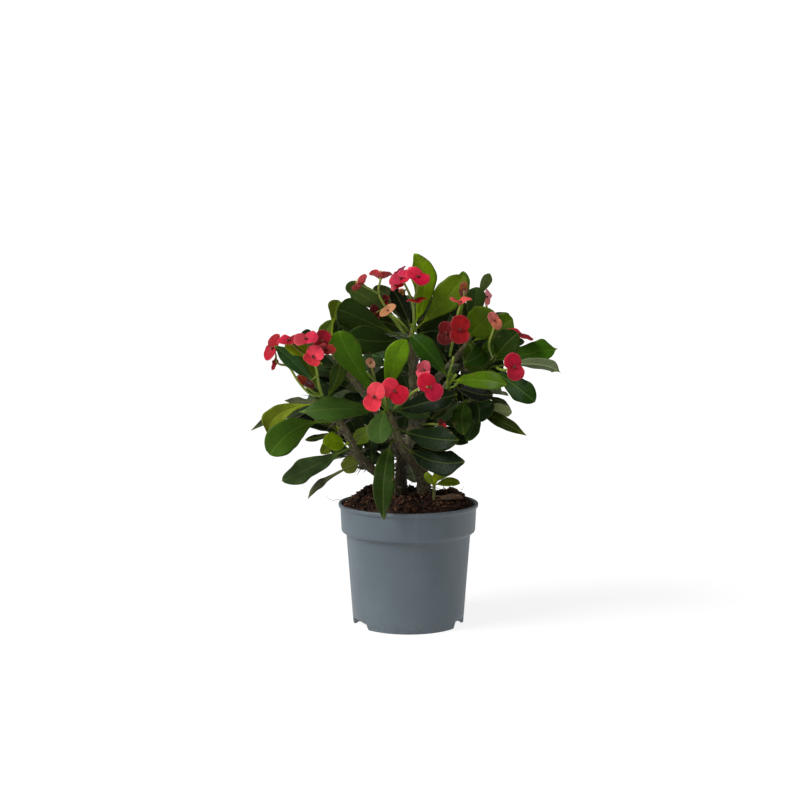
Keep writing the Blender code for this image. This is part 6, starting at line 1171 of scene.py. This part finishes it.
def make_pot():
    skin = fresh("pot")
    steps = 256
    corners = [  # radius, height, rounding; inside first, from the floor up
        (38.0, BASE_Z + BASE_T, 0), (FOOT_R - WALL, BASE_Z + BASE_T, 1.6),
        (BODY_TOP_R - WALL, BODY_TOP_Z - 0.4, 1.2), (COLLAR_LOW_R - WALL, COLLAR_LOW_Z + 1.0, 1.5),
        (COLLAR_TOP_R - WALL + 0.15, RIM_Z - 0.9, 0.5), (COLLAR_TOP_R - WALL + 0.9, RIM_Z, 0.4),
        (RIM_R, RIM_Z, 0.8), (RIM_R + 0.0, RIM_Z - LIP_H, 0.7), (COLLAR_TOP_R + 0.05, RIM_Z - LIP_H - 0.4, 0.8),
        (COLLAR_LOW_R + 0.05, COLLAR_LOW_Z, 1.4), (BODY_TOP_R + 0.15, BODY_TOP_Z + 0.9, 1.3),
        (BODY_TOP_R - 0.1, BODY_TOP_Z - 0.6, 0.8), (FOOT_R + 0.05, 0.0, 0.5), (FOOT_R - 2.2, 0.0, 0.6)]
    prof = [np.array(corners[0][:2])]
    for k in range(1, len(corners) - 1):
        a, b, c = corners[k - 1], corners[k], corners[k + 1]
        prof += arc_corner(a[:2], b[:2], c[:2], b[2]) if b[2] else [np.array(b[:2])]
        # extra rows down the long walls keep the moulded draft smooth
        if k < len(corners) - 1 and np.linalg.norm(np.array(b[:2]) - np.array(c[:2])) > 12:
            for t in np.linspace(0, 1, 9)[1:-1]:
                prof.append(np.array(b[:2]) * (1 - t) + np.array(c[:2]) * t)
    prof.append(np.array(corners[-1][:2]))
    prof += [np.array((FOOT_R - 2.7, 0.8)), np.array((FOOT_R - 5.6, 1.9)), np.array((FOOT_R - 6.2, 2.3)),
             np.array((30.0, 2.3)), np.array((12.0, 2.3)), np.array((4.0, 2.3))]
    outer_from = next(i for i, p in enumerate(prof) if p[0] > RIM_R - 1.0)
    rings = []
    az = np.linspace(-math.pi, math.pi, steps, endpoint=False)
    deg = np.degrees(az)
    # two drain notches either side of the front and two at the back, with slanted ends
    cut = np.zeros(steps)
    for lo, hi in ((-167, -135), (-37, -10), (20, 48), (132, 160), (78, 102)):
        cut = np.maximum(cut, np.clip(np.minimum(deg - lo, hi - deg) / 3.2, 0, 1))
    cut = 5.6 * smooth(0, 1, cut)
    for i, (r, z) in enumerate(prof):
        rr, zz = np.full(steps, r), np.full(steps, z)
        if i >= outer_from and z < 9:
            if i <= len(prof) - 7:                  # the skirt
                zz = np.maximum(zz, cut + 0.10 * z)
                rr = np.where(cut > z, FOOT_R + (z - 0) * 0.0 + cut * 0.06 + (r - FOOT_R) * 1.0, rr)
            elif i == len(prof) - 6:                # inner edge of the skirt
                zz = np.maximum(zz, cut)
                rr = rr
        if i < outer_from and z < 8:
            zz = zz + 1.4 * smooth(0.5, 5.0, cut)
        # a moulding is never quite round
        wob = 1 + 0.0010 * np.cos(2 * az + 0.7) * z / RIM_Z + 0.0004 * np.cos(5 * az) * z / RIM_Z
        rr = rr * wob
        rings.append(np.stack([rr * np.cos(az), rr * np.sin(az), zz], 1))
    # close the floor plate through its thickness
    rings = np.array(rings)
    skin.loft(rings, rgb("#66727a"), 0, caps=False)
    top, bottom = rings[0], rings[-1]
    # plate centre: upper and lower discs with a small moulded gate mark
    for ring, z0, sign in ((top, BASE_Z + BASE_T, 1), (bottom, 2.3, -1)):
        r0 = np.linalg.norm(ring[0, :2])
        rows = []
        for t in (1.0, 0.7, 0.4, 0.2, 0.12, 0.02):
            z = ring[:, 2].copy() if t == 1.0 else np.full(steps, z0 - (0.3 if t < 0.15 else 0.0) * sign * -1)
            rows.append(np.stack([ring[:, 0] * t, ring[:, 1] * t, z], 1))
        rows = rows if sign > 0 else rows
        skin.loft(np.array(rows), rgb("#66727a"), 0, caps=False)
    obj = skin.make("pot_moulding", [pot_material()], "pot_plastic", ("pot",))
    bm = bmesh.new()
    bm.from_mesh(obj.data)
    bmesh.ops.remove_doubles(bm, verts=bm.verts, dist=2e-6)
    holes = [e for e in bm.edges if len(e.link_faces) == 1]
    bmesh.ops.holes_fill(bm, edges=holes, sides=0)
    bmesh.ops.recalc_face_normals(bm, faces=bm.faces)
    bm.to_mesh(obj.data)
    bm.free()
    return obj


# ---------------------------------------------------------------------- soil
def soil_height(x, y):
    r = math.hypot(x, y) / (COLLAR_TOP_R - WALL)
    edge = max(0.0, 1 - r * r)
    z = SOIL_EDGE_Z + SOIL_CROWN * edge ** 0.8
    for px, py, spread, rise in ((-30, 22, 16, 4.5), (36, 14, 14, 3.0), (4, 34, 18, 2.5),
                                 (-14, -30, 14, 1.5), (22, -34, 12, 1.2)):
        z += rise * math.exp(-((x - px) ** 2 + (y - py) ** 2) / spread ** 2) * min(1, 3 * edge)
    return z


def soil_surface(x, y):
    """the mounded height with clods and hollows"""
    r = math.hypot(x, y) / 56.6
    fade = min(1.0, max(0.0, (1.0 - r) * 7))
    h = soil_height(x, y)
    h += fade * (1.5 * noise.noise(Vector((x * 0.085, y * 0.085, 1.3)))
                 + 1.1 * noise.noise(Vector((x * 0.19, y * 0.19, 7.7)))
                 + 0.9 * (0.5 - abs(noise.noise(Vector((x * 0.36, y * 0.36, 4.1)))) * 2)
                 + 0.5 * noise.noise(Vector((x * 0.8, y * 0.8, 9.2))))
    return h - 0.8 * (1 - fade)


def make_soil():
    skin = fresh("soil")
    steps, rings_n = 300, 90
    top_r = 56.35
    rows = []
    for r, z in ((3.0, 5.8), (24.0, 5.8), (43.0, 5.8), (44.6, 8.0), (48.2, 40.0), (50.9, 75.8), (54.4, 82.0), (56.1, 96.0)):
        a = np.linspace(0, 2 * math.pi, steps, endpoint=False)
        rows.append(np.stack([r * np.cos(a), r * np.sin(a), np.full(steps, z)], 1))
    for i in range(rings_n):
        r = top_r * (1 - (i / rings_n) ** 1.0)
        a = np.linspace(0, 2 * math.pi, steps, endpoint=False)
        x, y = r * np.cos(a), r * np.sin(a)
        z = np.array([soil_surface(p, q) for p, q in zip(x, y)])
        rows.append(np.stack([x, y, z], 1))
    rows = np.array(rows)
    dark = rgb("#2a1a12")
    T = np.empty(rows.shape)
    for i in range(rows.shape[0]):
        for j in range(rows.shape[1]):
            T[i, j] = dark
    skin.loft(rows, T, 0)
    return skin.make("soil_surface", [soil_material()], "potting_soil", ("soil",))


ICO = {}


def ico(level):
    if level not in ICO:
        bm = bmesh.new()
        bmesh.ops.create_icosphere(bm, subdivisions=level, radius=1.0)
        ICO[level] = (np.array([v.co[:] for v in bm.verts]), [[v.index for v in f.verts] for f in bm.faces])
        bm.free()
    return ICO[level]


def lump(skin, centre, size, seed, tint, rough=0.35, level=2, mat=0, lean=None):
    """a crumb: a ball pushed about until nothing of the ball is left"""
    co, tris = ico(level)
    sx, sy, sz = size
    a = 6.28 * rnd(seed, 1)
    ca, sa = math.cos(a), math.sin(a)
    b = (rnd(seed, 2) - 0.5) * 1.4
    cb, sb = math.cos(b), math.sin(b)
    out = []
    for p in co:
        k = 1 + rough * noise.noise(Vector((p[0] * 1.1 + seed * 9.1, p[1] * 1.1, p[2] * 1.1))) * 1.6 \
            + rough * 0.6 * noise.noise(Vector((p[0] * 2.9, p[1] * 2.9 + seed * 5.0, p[2] * 2.9)))
        q = np.array((p[0] * sx, p[1] * sy, p[2] * sz)) * k
        q = np.array((q[0] * cb + q[2] * sb, q[1], -q[0] * sb + q[2] * cb))
        out.append((q[0] * ca - q[1] * sa, q[0] * sa + q[1] * ca, q[2]))
    skin.bits(np.array(out) + centre, tris, tint, mat, seed)


def make_crumbs():
    dark = [rgb(c) for c in ("#241610", "#2e1c14", "#3a2418", "#1c120e", "#33201a", "#45291b")]
    groups = (("soil_clods_left", -57, -4), ("soil_clods_right", -4, 57))
    for name, x0, x1 in groups:
        skin = fresh(name)
        n = 0
        for i in range(620):
            r = 55.0 * math.sqrt(rnd(i, 3, name_seed(name)))
            a = 6.283 * rnd(i, 5, name_seed(name))
            x, y = r * math.cos(a), r * math.sin(a)
            if not x0 <= x < x1:
                continue
            big = rnd(i, 7) ** 3
            s = 0.7 + 2.6 * big
            if r + s > 55.8:
                continue
            z = soil_surface(x, y) + s * 0.25
            size = (s * (0.8 + 0.7 * rnd(i, 8)), s * (0.7 + 0.4 * rnd(i, 9)), s * (0.5 + 0.4 * rnd(i, 10)))
            lump(skin, np.array((x, y, z)), size, i + 0.37, dark[i % 6] * (0.8 + 0.5 * rnd(i, 12)), 0.42, 2)
            n += 1
        skin.make(name, [crumb_material()], "potting_soil")
    # heaps that stand up behind the rim, as the coarse mix does where it was topped up
    skin = fresh("soil_heaps")
    for i in range(210):
        side = i % 2
        cx, cy, sp = ((-33.0, 18.0, 11.0), (37.0, 12.0, 9.0))[side]
        a, r = 6.283 * rnd(i, 21), sp * rnd(i, 22) ** 0.7
        x, y = cx + 1.5 * r * math.cos(a), cy + r * math.sin(a)
        if math.hypot(x, y) > 52:
            continue
        s = 0.9 + 1.9 * rnd(i, 23) ** 2
        lift = (1 - r / sp) * (5.0 if side == 0 else 3.2) * rnd(i, 24)
        z = soil_surface(x, y) + lift
        lump(skin, np.array((x, y, z)), (s * (1.0 + rnd(i, 25)), s, s * 0.8), i + 0.11,
             dark[i % 6] * (0.8 + 0.5 * rnd(i, 26)), 0.45, 2)
    skin.make("soil_heaps", [crumb_material()], "potting_soil")
    # flat flakes of bark and wood fibre
    skin = fresh("bark_flakes")
    brown = [rgb(c) for c in ("#4a2c1c", "#5a3a26", "#3a2218", "#6b4a33", "#4d2f22")]
    for i in range(150):
        r = 53.0 * math.sqrt(rnd(i, 33))
        a = 6.283 * rnd(i, 35)
        x, y = r * math.cos(a), r * math.sin(a)
        L = 2.5 + 6.0 * rnd(i, 36) ** 2
        if r + L * 0.6 > 55:
            continue
        z = soil_surface(x, y) + 0.7 + 0.8 * rnd(i, 37)
        lump(skin, np.array((x, y, z)), (L * 0.55, 0.9 + 0.6 * rnd(i, 38), 0.42), i + 0.71,
             brown[i % 5] * (0.75 + 0.5 * rnd(i, 39)), 0.35, 2)
    skin.make("bark_flakes", [crumb_material()], "bark")
    # white perlite, pale fibres and fine roots
    skin = fresh("perlite_and_fibres")
    for i in range(46):
        r = 54.0 * math.sqrt(rnd(i, 43))
        a = 6.283 * rnd(i, 45)
        x, y = r * math.cos(a), r * math.sin(a)
        s = 0.35 + 0.5 * rnd(i, 46) ** 2
        lump(skin, np.array((x, y, soil_surface(x, y) + s)), (s, s * 0.9, s * 0.8), i + 0.5, rgb("#c9c2b0") * (0.7 + 0.4 * rnd(i, 47)), 0.3, 1)
    for i in range(64):
        r = 51.0 * math.sqrt(rnd(i, 53))
        a = 6.283 * rnd(i, 55)
        x, y = r * math.cos(a), r * math.sin(a)
        b, L = 6.283 * rnd(i, 56), 3 + 7 * rnd(i, 57)
        pts = []
        for k in range(4):
            t = k / 3 - 0.5
            px = x + math.cos(b) * L * t + 0.8 * math.sin(3 * k + i)
            py = y + math.sin(b) * L * t + 0.8 * math.cos(2 * k + i)
            if math.hypot(px, py) > 55.0:
                px, py = px * 0.93, py * 0.93
            pts.append((px, py, soil_surface(px, py) + 1.0 + 0.9 * rnd(i, k, 58)))
        tube(skin, pts, [0.10, 0.17, 0.15, 0.07], rgb("#8a7350") * (0.6 + 0.7 * rnd(i, 59)), 0, 1.4, 6, i, 0, False)
    # the root hair that strays over the rim on the left, and a wisp at the right
    tube(skin, [(-56.0, 4.0, 103.0), (-60.6, 3.0, 105.2), (-64.5, 2.0, 104.6), (-68.0, 1.0, 106.0), (-71.0, 0.0, 108.6)],
         [0.22, 0.2, 0.17, 0.14, 0.08], rgb("#6a5648"), 0, 1.2, 6, 0.3, 0, False)
    tube(skin, [(43.0, -6.0, 110.0), (45.5, -8.0, 113.0), (46.0, -8.0, 116.5), (47.6, -8.0, 119.0)],
         [0.2, 0.18, 0.14, 0.07], rgb("#5b626b"), 0, 1.2, 6, 0.5, 0, False)
    tube(skin, [(46.0, -8.0, 115.0), (44.2, -8.5, 117.0), (43.4, -9.0, 117.6)],
         [0.15, 0.12, 0.06], rgb("#5b626b"), 0, 1.0, 6, 0.6, 0, False)
    skin.make("perlite_and_fibres", [crumb_material()], "potting_soil")


def make_chip(x, y, turn):
    """the bark chip: a split slab, thick at one end, with a torn edge"""
    skin = fresh("bark_chip")
    rise = max(soil_height(x + dx * math.cos(turn) - dy * math.sin(turn), y + dx * math.sin(turn) + dy * math.cos(turn))
               for dx in (-13, -6, 0, 6, 13) for dy in (-4, 0, 4))
    rings = []
    m, k = 44, 28
    for i in range(m):
        a = i / (m - 1) - 0.5
        cap = math.sqrt(max(0.02, 1 - (2 * a) ** 6))
        w = 8 * (1 - 0.5 * abs(a) ** 1.5) * cap * (1 + 0.10 * math.sin(17 * a))
        h = 3.6 * cap * (1 + 0.25 * math.sin(5 * a + 1.0))
        row = []
        for j in range(k):
            t = 2 * math.pi * j / k
            c, s = math.cos(t), math.sin(t)
            py = math.copysign(abs(c) ** 0.6, c) * w / 2 + 0.8 * math.sin(9 * a)
            pz = math.copysign(abs(s) ** 0.7, s) * h / 2 + 0.5 * math.sin(7 * a)
            p = np.array((a * 24, py, pz))
            n = noise.noise(Vector((p[0] * 0.35, p[1] * 1.3, p[2] * 1.3))) + 0.5 * noise.noise(Vector((p[0] * 0.9, p[1] * 3.1, p[2] * 3.1)))
            p[1:] *= 1 + 0.16 * n
            row.append(p)
        rings.append(row)
    R = np.array(rings)
    ct, st = math.cos(turn), math.sin(turn)
    out = np.stack([R[..., 0] * ct - R[..., 1] * st + x, R[..., 0] * st + R[..., 1] * ct + y, R[..., 2] + rise + 2.4], -1)
    skin.loft(out, rgb("#8a6a4a"), 0)
    return skin.make("bark_chip_split", [wood_material()], "bark", ("bark_chip",))


# --------------------------------------------------------------------- plant
PATHS = []        # every woody limb and shoot, to root the petioles on


def woody(node, limbs):
    skin = fresh(node)
    for i, (pts, radii) in enumerate(limbs):
        seed = name_seed(node) + i * 0.31
        tint = rgb(("#777764", "#6b6a5a", "#7e7d6a")[i % 3])
        young = radii[-1] < 3.2
        end = rgb("#5f5a3c") if young else tint
        top_r = list(radii)
        ring = tube(skin, pts, top_r, np.array([tint, end]), 0, 1.1, 20, seed, 0.13, True, 7.5)
        PATHS.append((ring[0], ring[1]))
        spines(skin, ring, 10 + 5 * rnd(seed, 1), ring[5][-1], 6.2, 1, seed, 0.95 if i else 1.15)
    return skin.make(node + "_bark", [BARK, SPINE], "woody_stem", (node,))


def nearest_root(p, reach=16.0):
    """the point just inside the nearest limb, for a petiole to start from"""
    best = None
    for path, rr in PATHS:
        d = np.linalg.norm(path - p, axis=1)
        i = int(np.argmin(d - rr))
        if best is None or d[i] - rr[i] < best[0]:
            best = (d[i] - rr[i], path[i], rr[i])
    gap, q, r = best
    if gap > reach:
        return None
    out = unit(np.asarray(p) - q)
    return q + out * r * 0.6


def leaf_row(skin, row, seed, mat=0, rooted=True):
    b, m, t, W, n, hexa, peak, stalk, fold, twist, wave = row[:11]
    point = row[11] if len(row) > 11 else 0.0
    root = nearest_root(np.asarray(b, float)) if rooted else None
    blade(skin, b, m, t, W, n, rgb(hexa), peak, stalk, fold, twist, wave, seed, root, mat, point=point)


def leaf_piece(node, row):
    skin = fresh(node)
    kind = DUSTY if node in DUSTY_LEAVES else (YOUNG if node in YOUNG_LEAVES else LEAF)
    leaf_row(skin, row, name_seed(node))
    slot = "young_leaf" if node in YOUNG_LEAVES else "green_leaf"
    return skin.make(node + "_blade", [kind], slot, (node,))


def hub_limb(skin, hub, radii, tint, seed):
    ring = tube(skin, hub, radii, tint, 1, 0.7, 14, seed, 0.10, True, 2.4)
    PATHS.append((ring[0], ring[1]))
    return ring


def shoot_piece(node, hub, radii, rows, slot):
    skin = fresh(node)
    hub = [np.asarray(p, float) for p in hub]
    # the tip grows out of the woody stem without a step
    first = hub[0] - unit(hub[1] - hub[0]) * 1.6
    ring = hub_limb(skin, [first] + hub, [radii[0] * 1.02] + list(radii), np.array([rgb("#5f5a3c"), rgb("#5d6a2c")]), name_seed(node))
    # a bud and two tiny leaves close the tip
    tip, d = hub[-1], unit(hub[-1] - hub[-2])
    e = unit(np.cross(d, (0.3, 0.4, 0.8)))
    for k in range(3):
        out = e * math.cos(2.4 * k) + np.cross(d, e) * math.sin(2.4 * k)
        t = tip + d * (5.5 - k) + out * 2.2
        blade(skin, tip - d * 0.5, (tip + t) / 2 + out * 0.6, t, 3.2, -out, rgb("#6a7a20"), 0.6, 0.1, 14, 0, 0.1,
              0.3 * k, None, 0, 14, 3, stalk_r=0.4)
    for i, row in enumerate(rows):
        leaf_row(skin, row, (name_seed(node) + 0.37 * i) % 1.0, rooted=False)
    spines(skin, ring, 2.0, 30, 5.5, 2, name_seed(node), 0.6)
    kind = YOUNG if slot == "young_leaf" else LEAF
    return skin.make(node + "_leaves", [kind, STALK, SPINE], slot, (node,))


def whorl_rows(hub, axis, count, length, width, start, tones, spread=(62, 22)):
    axis = unit(axis)
    e1 = unit(np.cross(axis, (0.3, 0.1, 1.0)))
    e2 = np.cross(axis, e1)
    bottom, top = np.asarray(hub[1], float), np.asarray(hub[-1], float)
    rows = []
    for i in range(count):
        k = i / max(count - 1, 1)
        a = start + GOLDEN * i
        out = e1 * math.cos(a) + e2 * math.sin(a)
        tilt = math.radians(spread[0] + (spread[1] - spread[0]) * k)
        aim = axis * math.cos(tilt) + out * math.sin(tilt)
        base = bottom + (top - bottom) * k * 0.9
        size = length * (1.0 - 0.28 * k)
        tip = base + aim * size + np.array((0, 0, -1.0)) * size * 0.10
        middle = base + aim * size * 0.5 + axis * size * 0.07
        face = axis * math.sin(tilt) - out * math.cos(tilt)
        rows.append((base, middle, tip, width * (1.0 - 0.2 * k), face, tones[i % len(tones)], 0.63,
                     0.08, 10, 0, 0.7))
    return rows


def stalk_tube(skin, points, radii, seed, mat=1, low="#5e7a22", high="#7a8a34"):
    tube(skin, points, radii, np.array([rgb(low), rgb(high)]), mat, 1.2, 12, seed, 0.05, True)


def flowers_piece(node, stalks, rows):
    skin = fresh(node)
    for i, (pts, radii) in enumerate(stalks):
        stalk_tube(skin, pts, radii, name_seed(node) + i)
    for i, row in enumerate(rows):
        centre, face, axis, length, width, cup, share, foot, tint, tint2 = row
        centre = np.asarray(centre, float)
        seed = (name_seed(node) + 0.29 * i) % 1.0
        if foot is not None:
            foot = np.asarray(foot, float)
            back = centre - unit(face) * 0.8
            knee = (foot + back) / 2 - unit(face) * np.linalg.norm(back - foot) * 0.12
            stalk_tube(skin, [foot, knee, back], [0.75, 0.65, 0.8], seed, high="#6e5a28")
        flower(skin, centre, face, axis, length, width, cup, share, rgb(tint), seed, (0, 2), tint2=rgb(tint2))
    return skin.make(node + "_bloom", [BRACT, STALK, CUP], "red_bracts", (node,))


def fan_rows(top, axis, count, reach, start):
    axis = unit(axis)
    e1 = unit(np.cross(axis, (0.3, 0.1, 1.0)))
    e2 = np.cross(axis, e1)
    top = np.asarray(top, float)
    rows = []
    for i in range(count):
        a = start + 2 * math.pi * i / count
        out = e1 * math.cos(a) + e2 * math.sin(a)
        centre = top + axis * reach * 0.55 + out * reach
        face = unit(axis * 0.9 + out * 0.7)
        line = unit(np.cross(face, out))
        c = ("#c2203e", "#c83050", "#b81a38")[i % 3]
        rows.append((centre, face, line, 9.5, 13.5, 8, 1.0, top, c, c))
    return rows


make_pot()
make_soil()
make_crumbs()
make_chip(*CHIP)
for node, limbs in STEMS.items():
    woody(node, limbs)
for node, row in LEAVES.items():
    leaf_piece(node, row)
for node, hub, radii, rows, slot in SHOOTS:
    shoot_piece(node, hub, radii, rows, slot)
TONES = ("#26371c", "#2c4420", "#22321a", "#33502a")
for node, hub, radii, axis, count, length, width, start in WHORLS:
    shoot_piece(node, hub, radii, whorl_rows(hub, axis, count, length, width, start, TONES), "green_leaf")
for node, stalks, rows in INFLORESCENCES:
    flowers_piece(node, stalks, rows)
for node, stalk, radii, top, axis, count, reach, start in FANS:
    flowers_piece(node, [(stalk, radii)], fan_rows(top, axis, count, reach, start))
for name, rows in FILL.items():
    skin = fresh(name)
    for i, row in enumerate(rows):
        leaf_row(skin, row, (name_seed(name) + 0.37 * i) % 1.0)
    skin.make(name, [LEAF], "green_leaf")
skin = fresh("young_stalks")
for i, (points, radii) in enumerate(YOUNG_STALKS):
    tube(skin, points, radii, (rgb("#55701c"), rgb("#7d9a2e")), 0, 1.2, 9, 0.13 * i)
skin.make("young_stalks", [STALK], "green_leaf")
skin = fresh("long_spines")
for i, (foot, reach) in enumerate(LONG_SPINES):
    root = nearest_root(np.asarray(foot, float))
    root = np.asarray(foot, float) if root is None else root
    spine(skin, root, unit(reach), float(np.linalg.norm(reach)), 0.55, 0, 0.17 * i)
skin.make("long_spines", [SPINE], "woody_stem")

# ---------------------------------------------------------- light and camera
bm = bmesh.new()
bmesh.ops.create_grid(bm, x_segments=8, y_segments=8, size=6.0)
me = bpy.data.meshes.new("floor")
bm.to_mesh(me)
bm.free()
floor = bpy.data.objects.new("floor", me)
scene.collection.objects.link(floor)
g = Graph("floor_paper")
paper = g.done(g.mix(g.ramp(g.noise(2.0, 2), 0.3, 0.7, 0.0, 1.0), (0.17, 0.17, 0.17), (0.18, 0.18, 0.18)), 0.9, Specular_IOR_Level=0.0)
for node in paper.node_tree.nodes:
    if node.type == "BSDF_PRINCIPLED":      # lit from below, as a light table, so shadows stay faint
        node.inputs["Emission Color"].default_value = (1, 1, 1, 1)
        node.inputs["Emission Strength"].default_value = 0.86
me.materials.append(paper)

world = bpy.data.worlds.new("studio")
scene.world = world
world.use_nodes = True
wt = world.node_tree
bg = wt.nodes["Background"]
bg.inputs["Color"].default_value = (1, 1, 1, 1)
bg.inputs["Strength"].default_value = WORLD_IN
white = wt.nodes.new("ShaderNodeBackground")
white.inputs["Color"].default_value = (1, 1, 1, 1)
white.inputs["Strength"].default_value = 1.1
pathn = wt.nodes.new("ShaderNodeLightPath")
mixn = wt.nodes.new("ShaderNodeMixShader")
wt.links.new(pathn.outputs["Is Camera Ray"], mixn.inputs[0])
wt.links.new(bg.outputs[0], mixn.inputs[1])
wt.links.new(white.outputs[0], mixn.inputs[2])
wt.links.new(mixn.outputs[0], wt.nodes["World Output"].inputs["Surface"])


def sun(name, toward, strength, spread, colour=(1, 1, 1)):
    light = bpy.data.lights.new(name, "SUN")
    light.energy = strength
    light.angle = math.radians(spread)
    light.color = colour
    obj = bpy.data.objects.new(name, light)
    obj.rotation_euler = Vector(toward).to_track_quat("Z", "Y").to_euler()
    scene.collection.objects.link(obj)


# one big soft light at the upper left, a weak one at the right
sun("key", (-0.92 * 0.766, -0.39 * 0.766, 0.643), KEY, 34)
sun("fill", (0.75, -0.62, 0.30), FILL_LIGHT, 60)

cam = bpy.data.cameras.new("camera")
cam.lens = 58.185
cam.sensor_width = 36.0
cam.clip_start = 0.01
cam_obj = bpy.data.objects.new("camera", cam)
cam_obj.location = (-0.00715, -1.1, 0.288)
cam_obj.rotation_euler = (math.radians(90 - 5.01), 0, 0)
scene.collection.objects.link(cam_obj)
scene.camera = cam_obj
bpy.context.scene.camera = cam_obj
scene.view_settings.view_transform = "Standard"
scene.view_settings.look = "None"

bpy.context.view_layer.update()
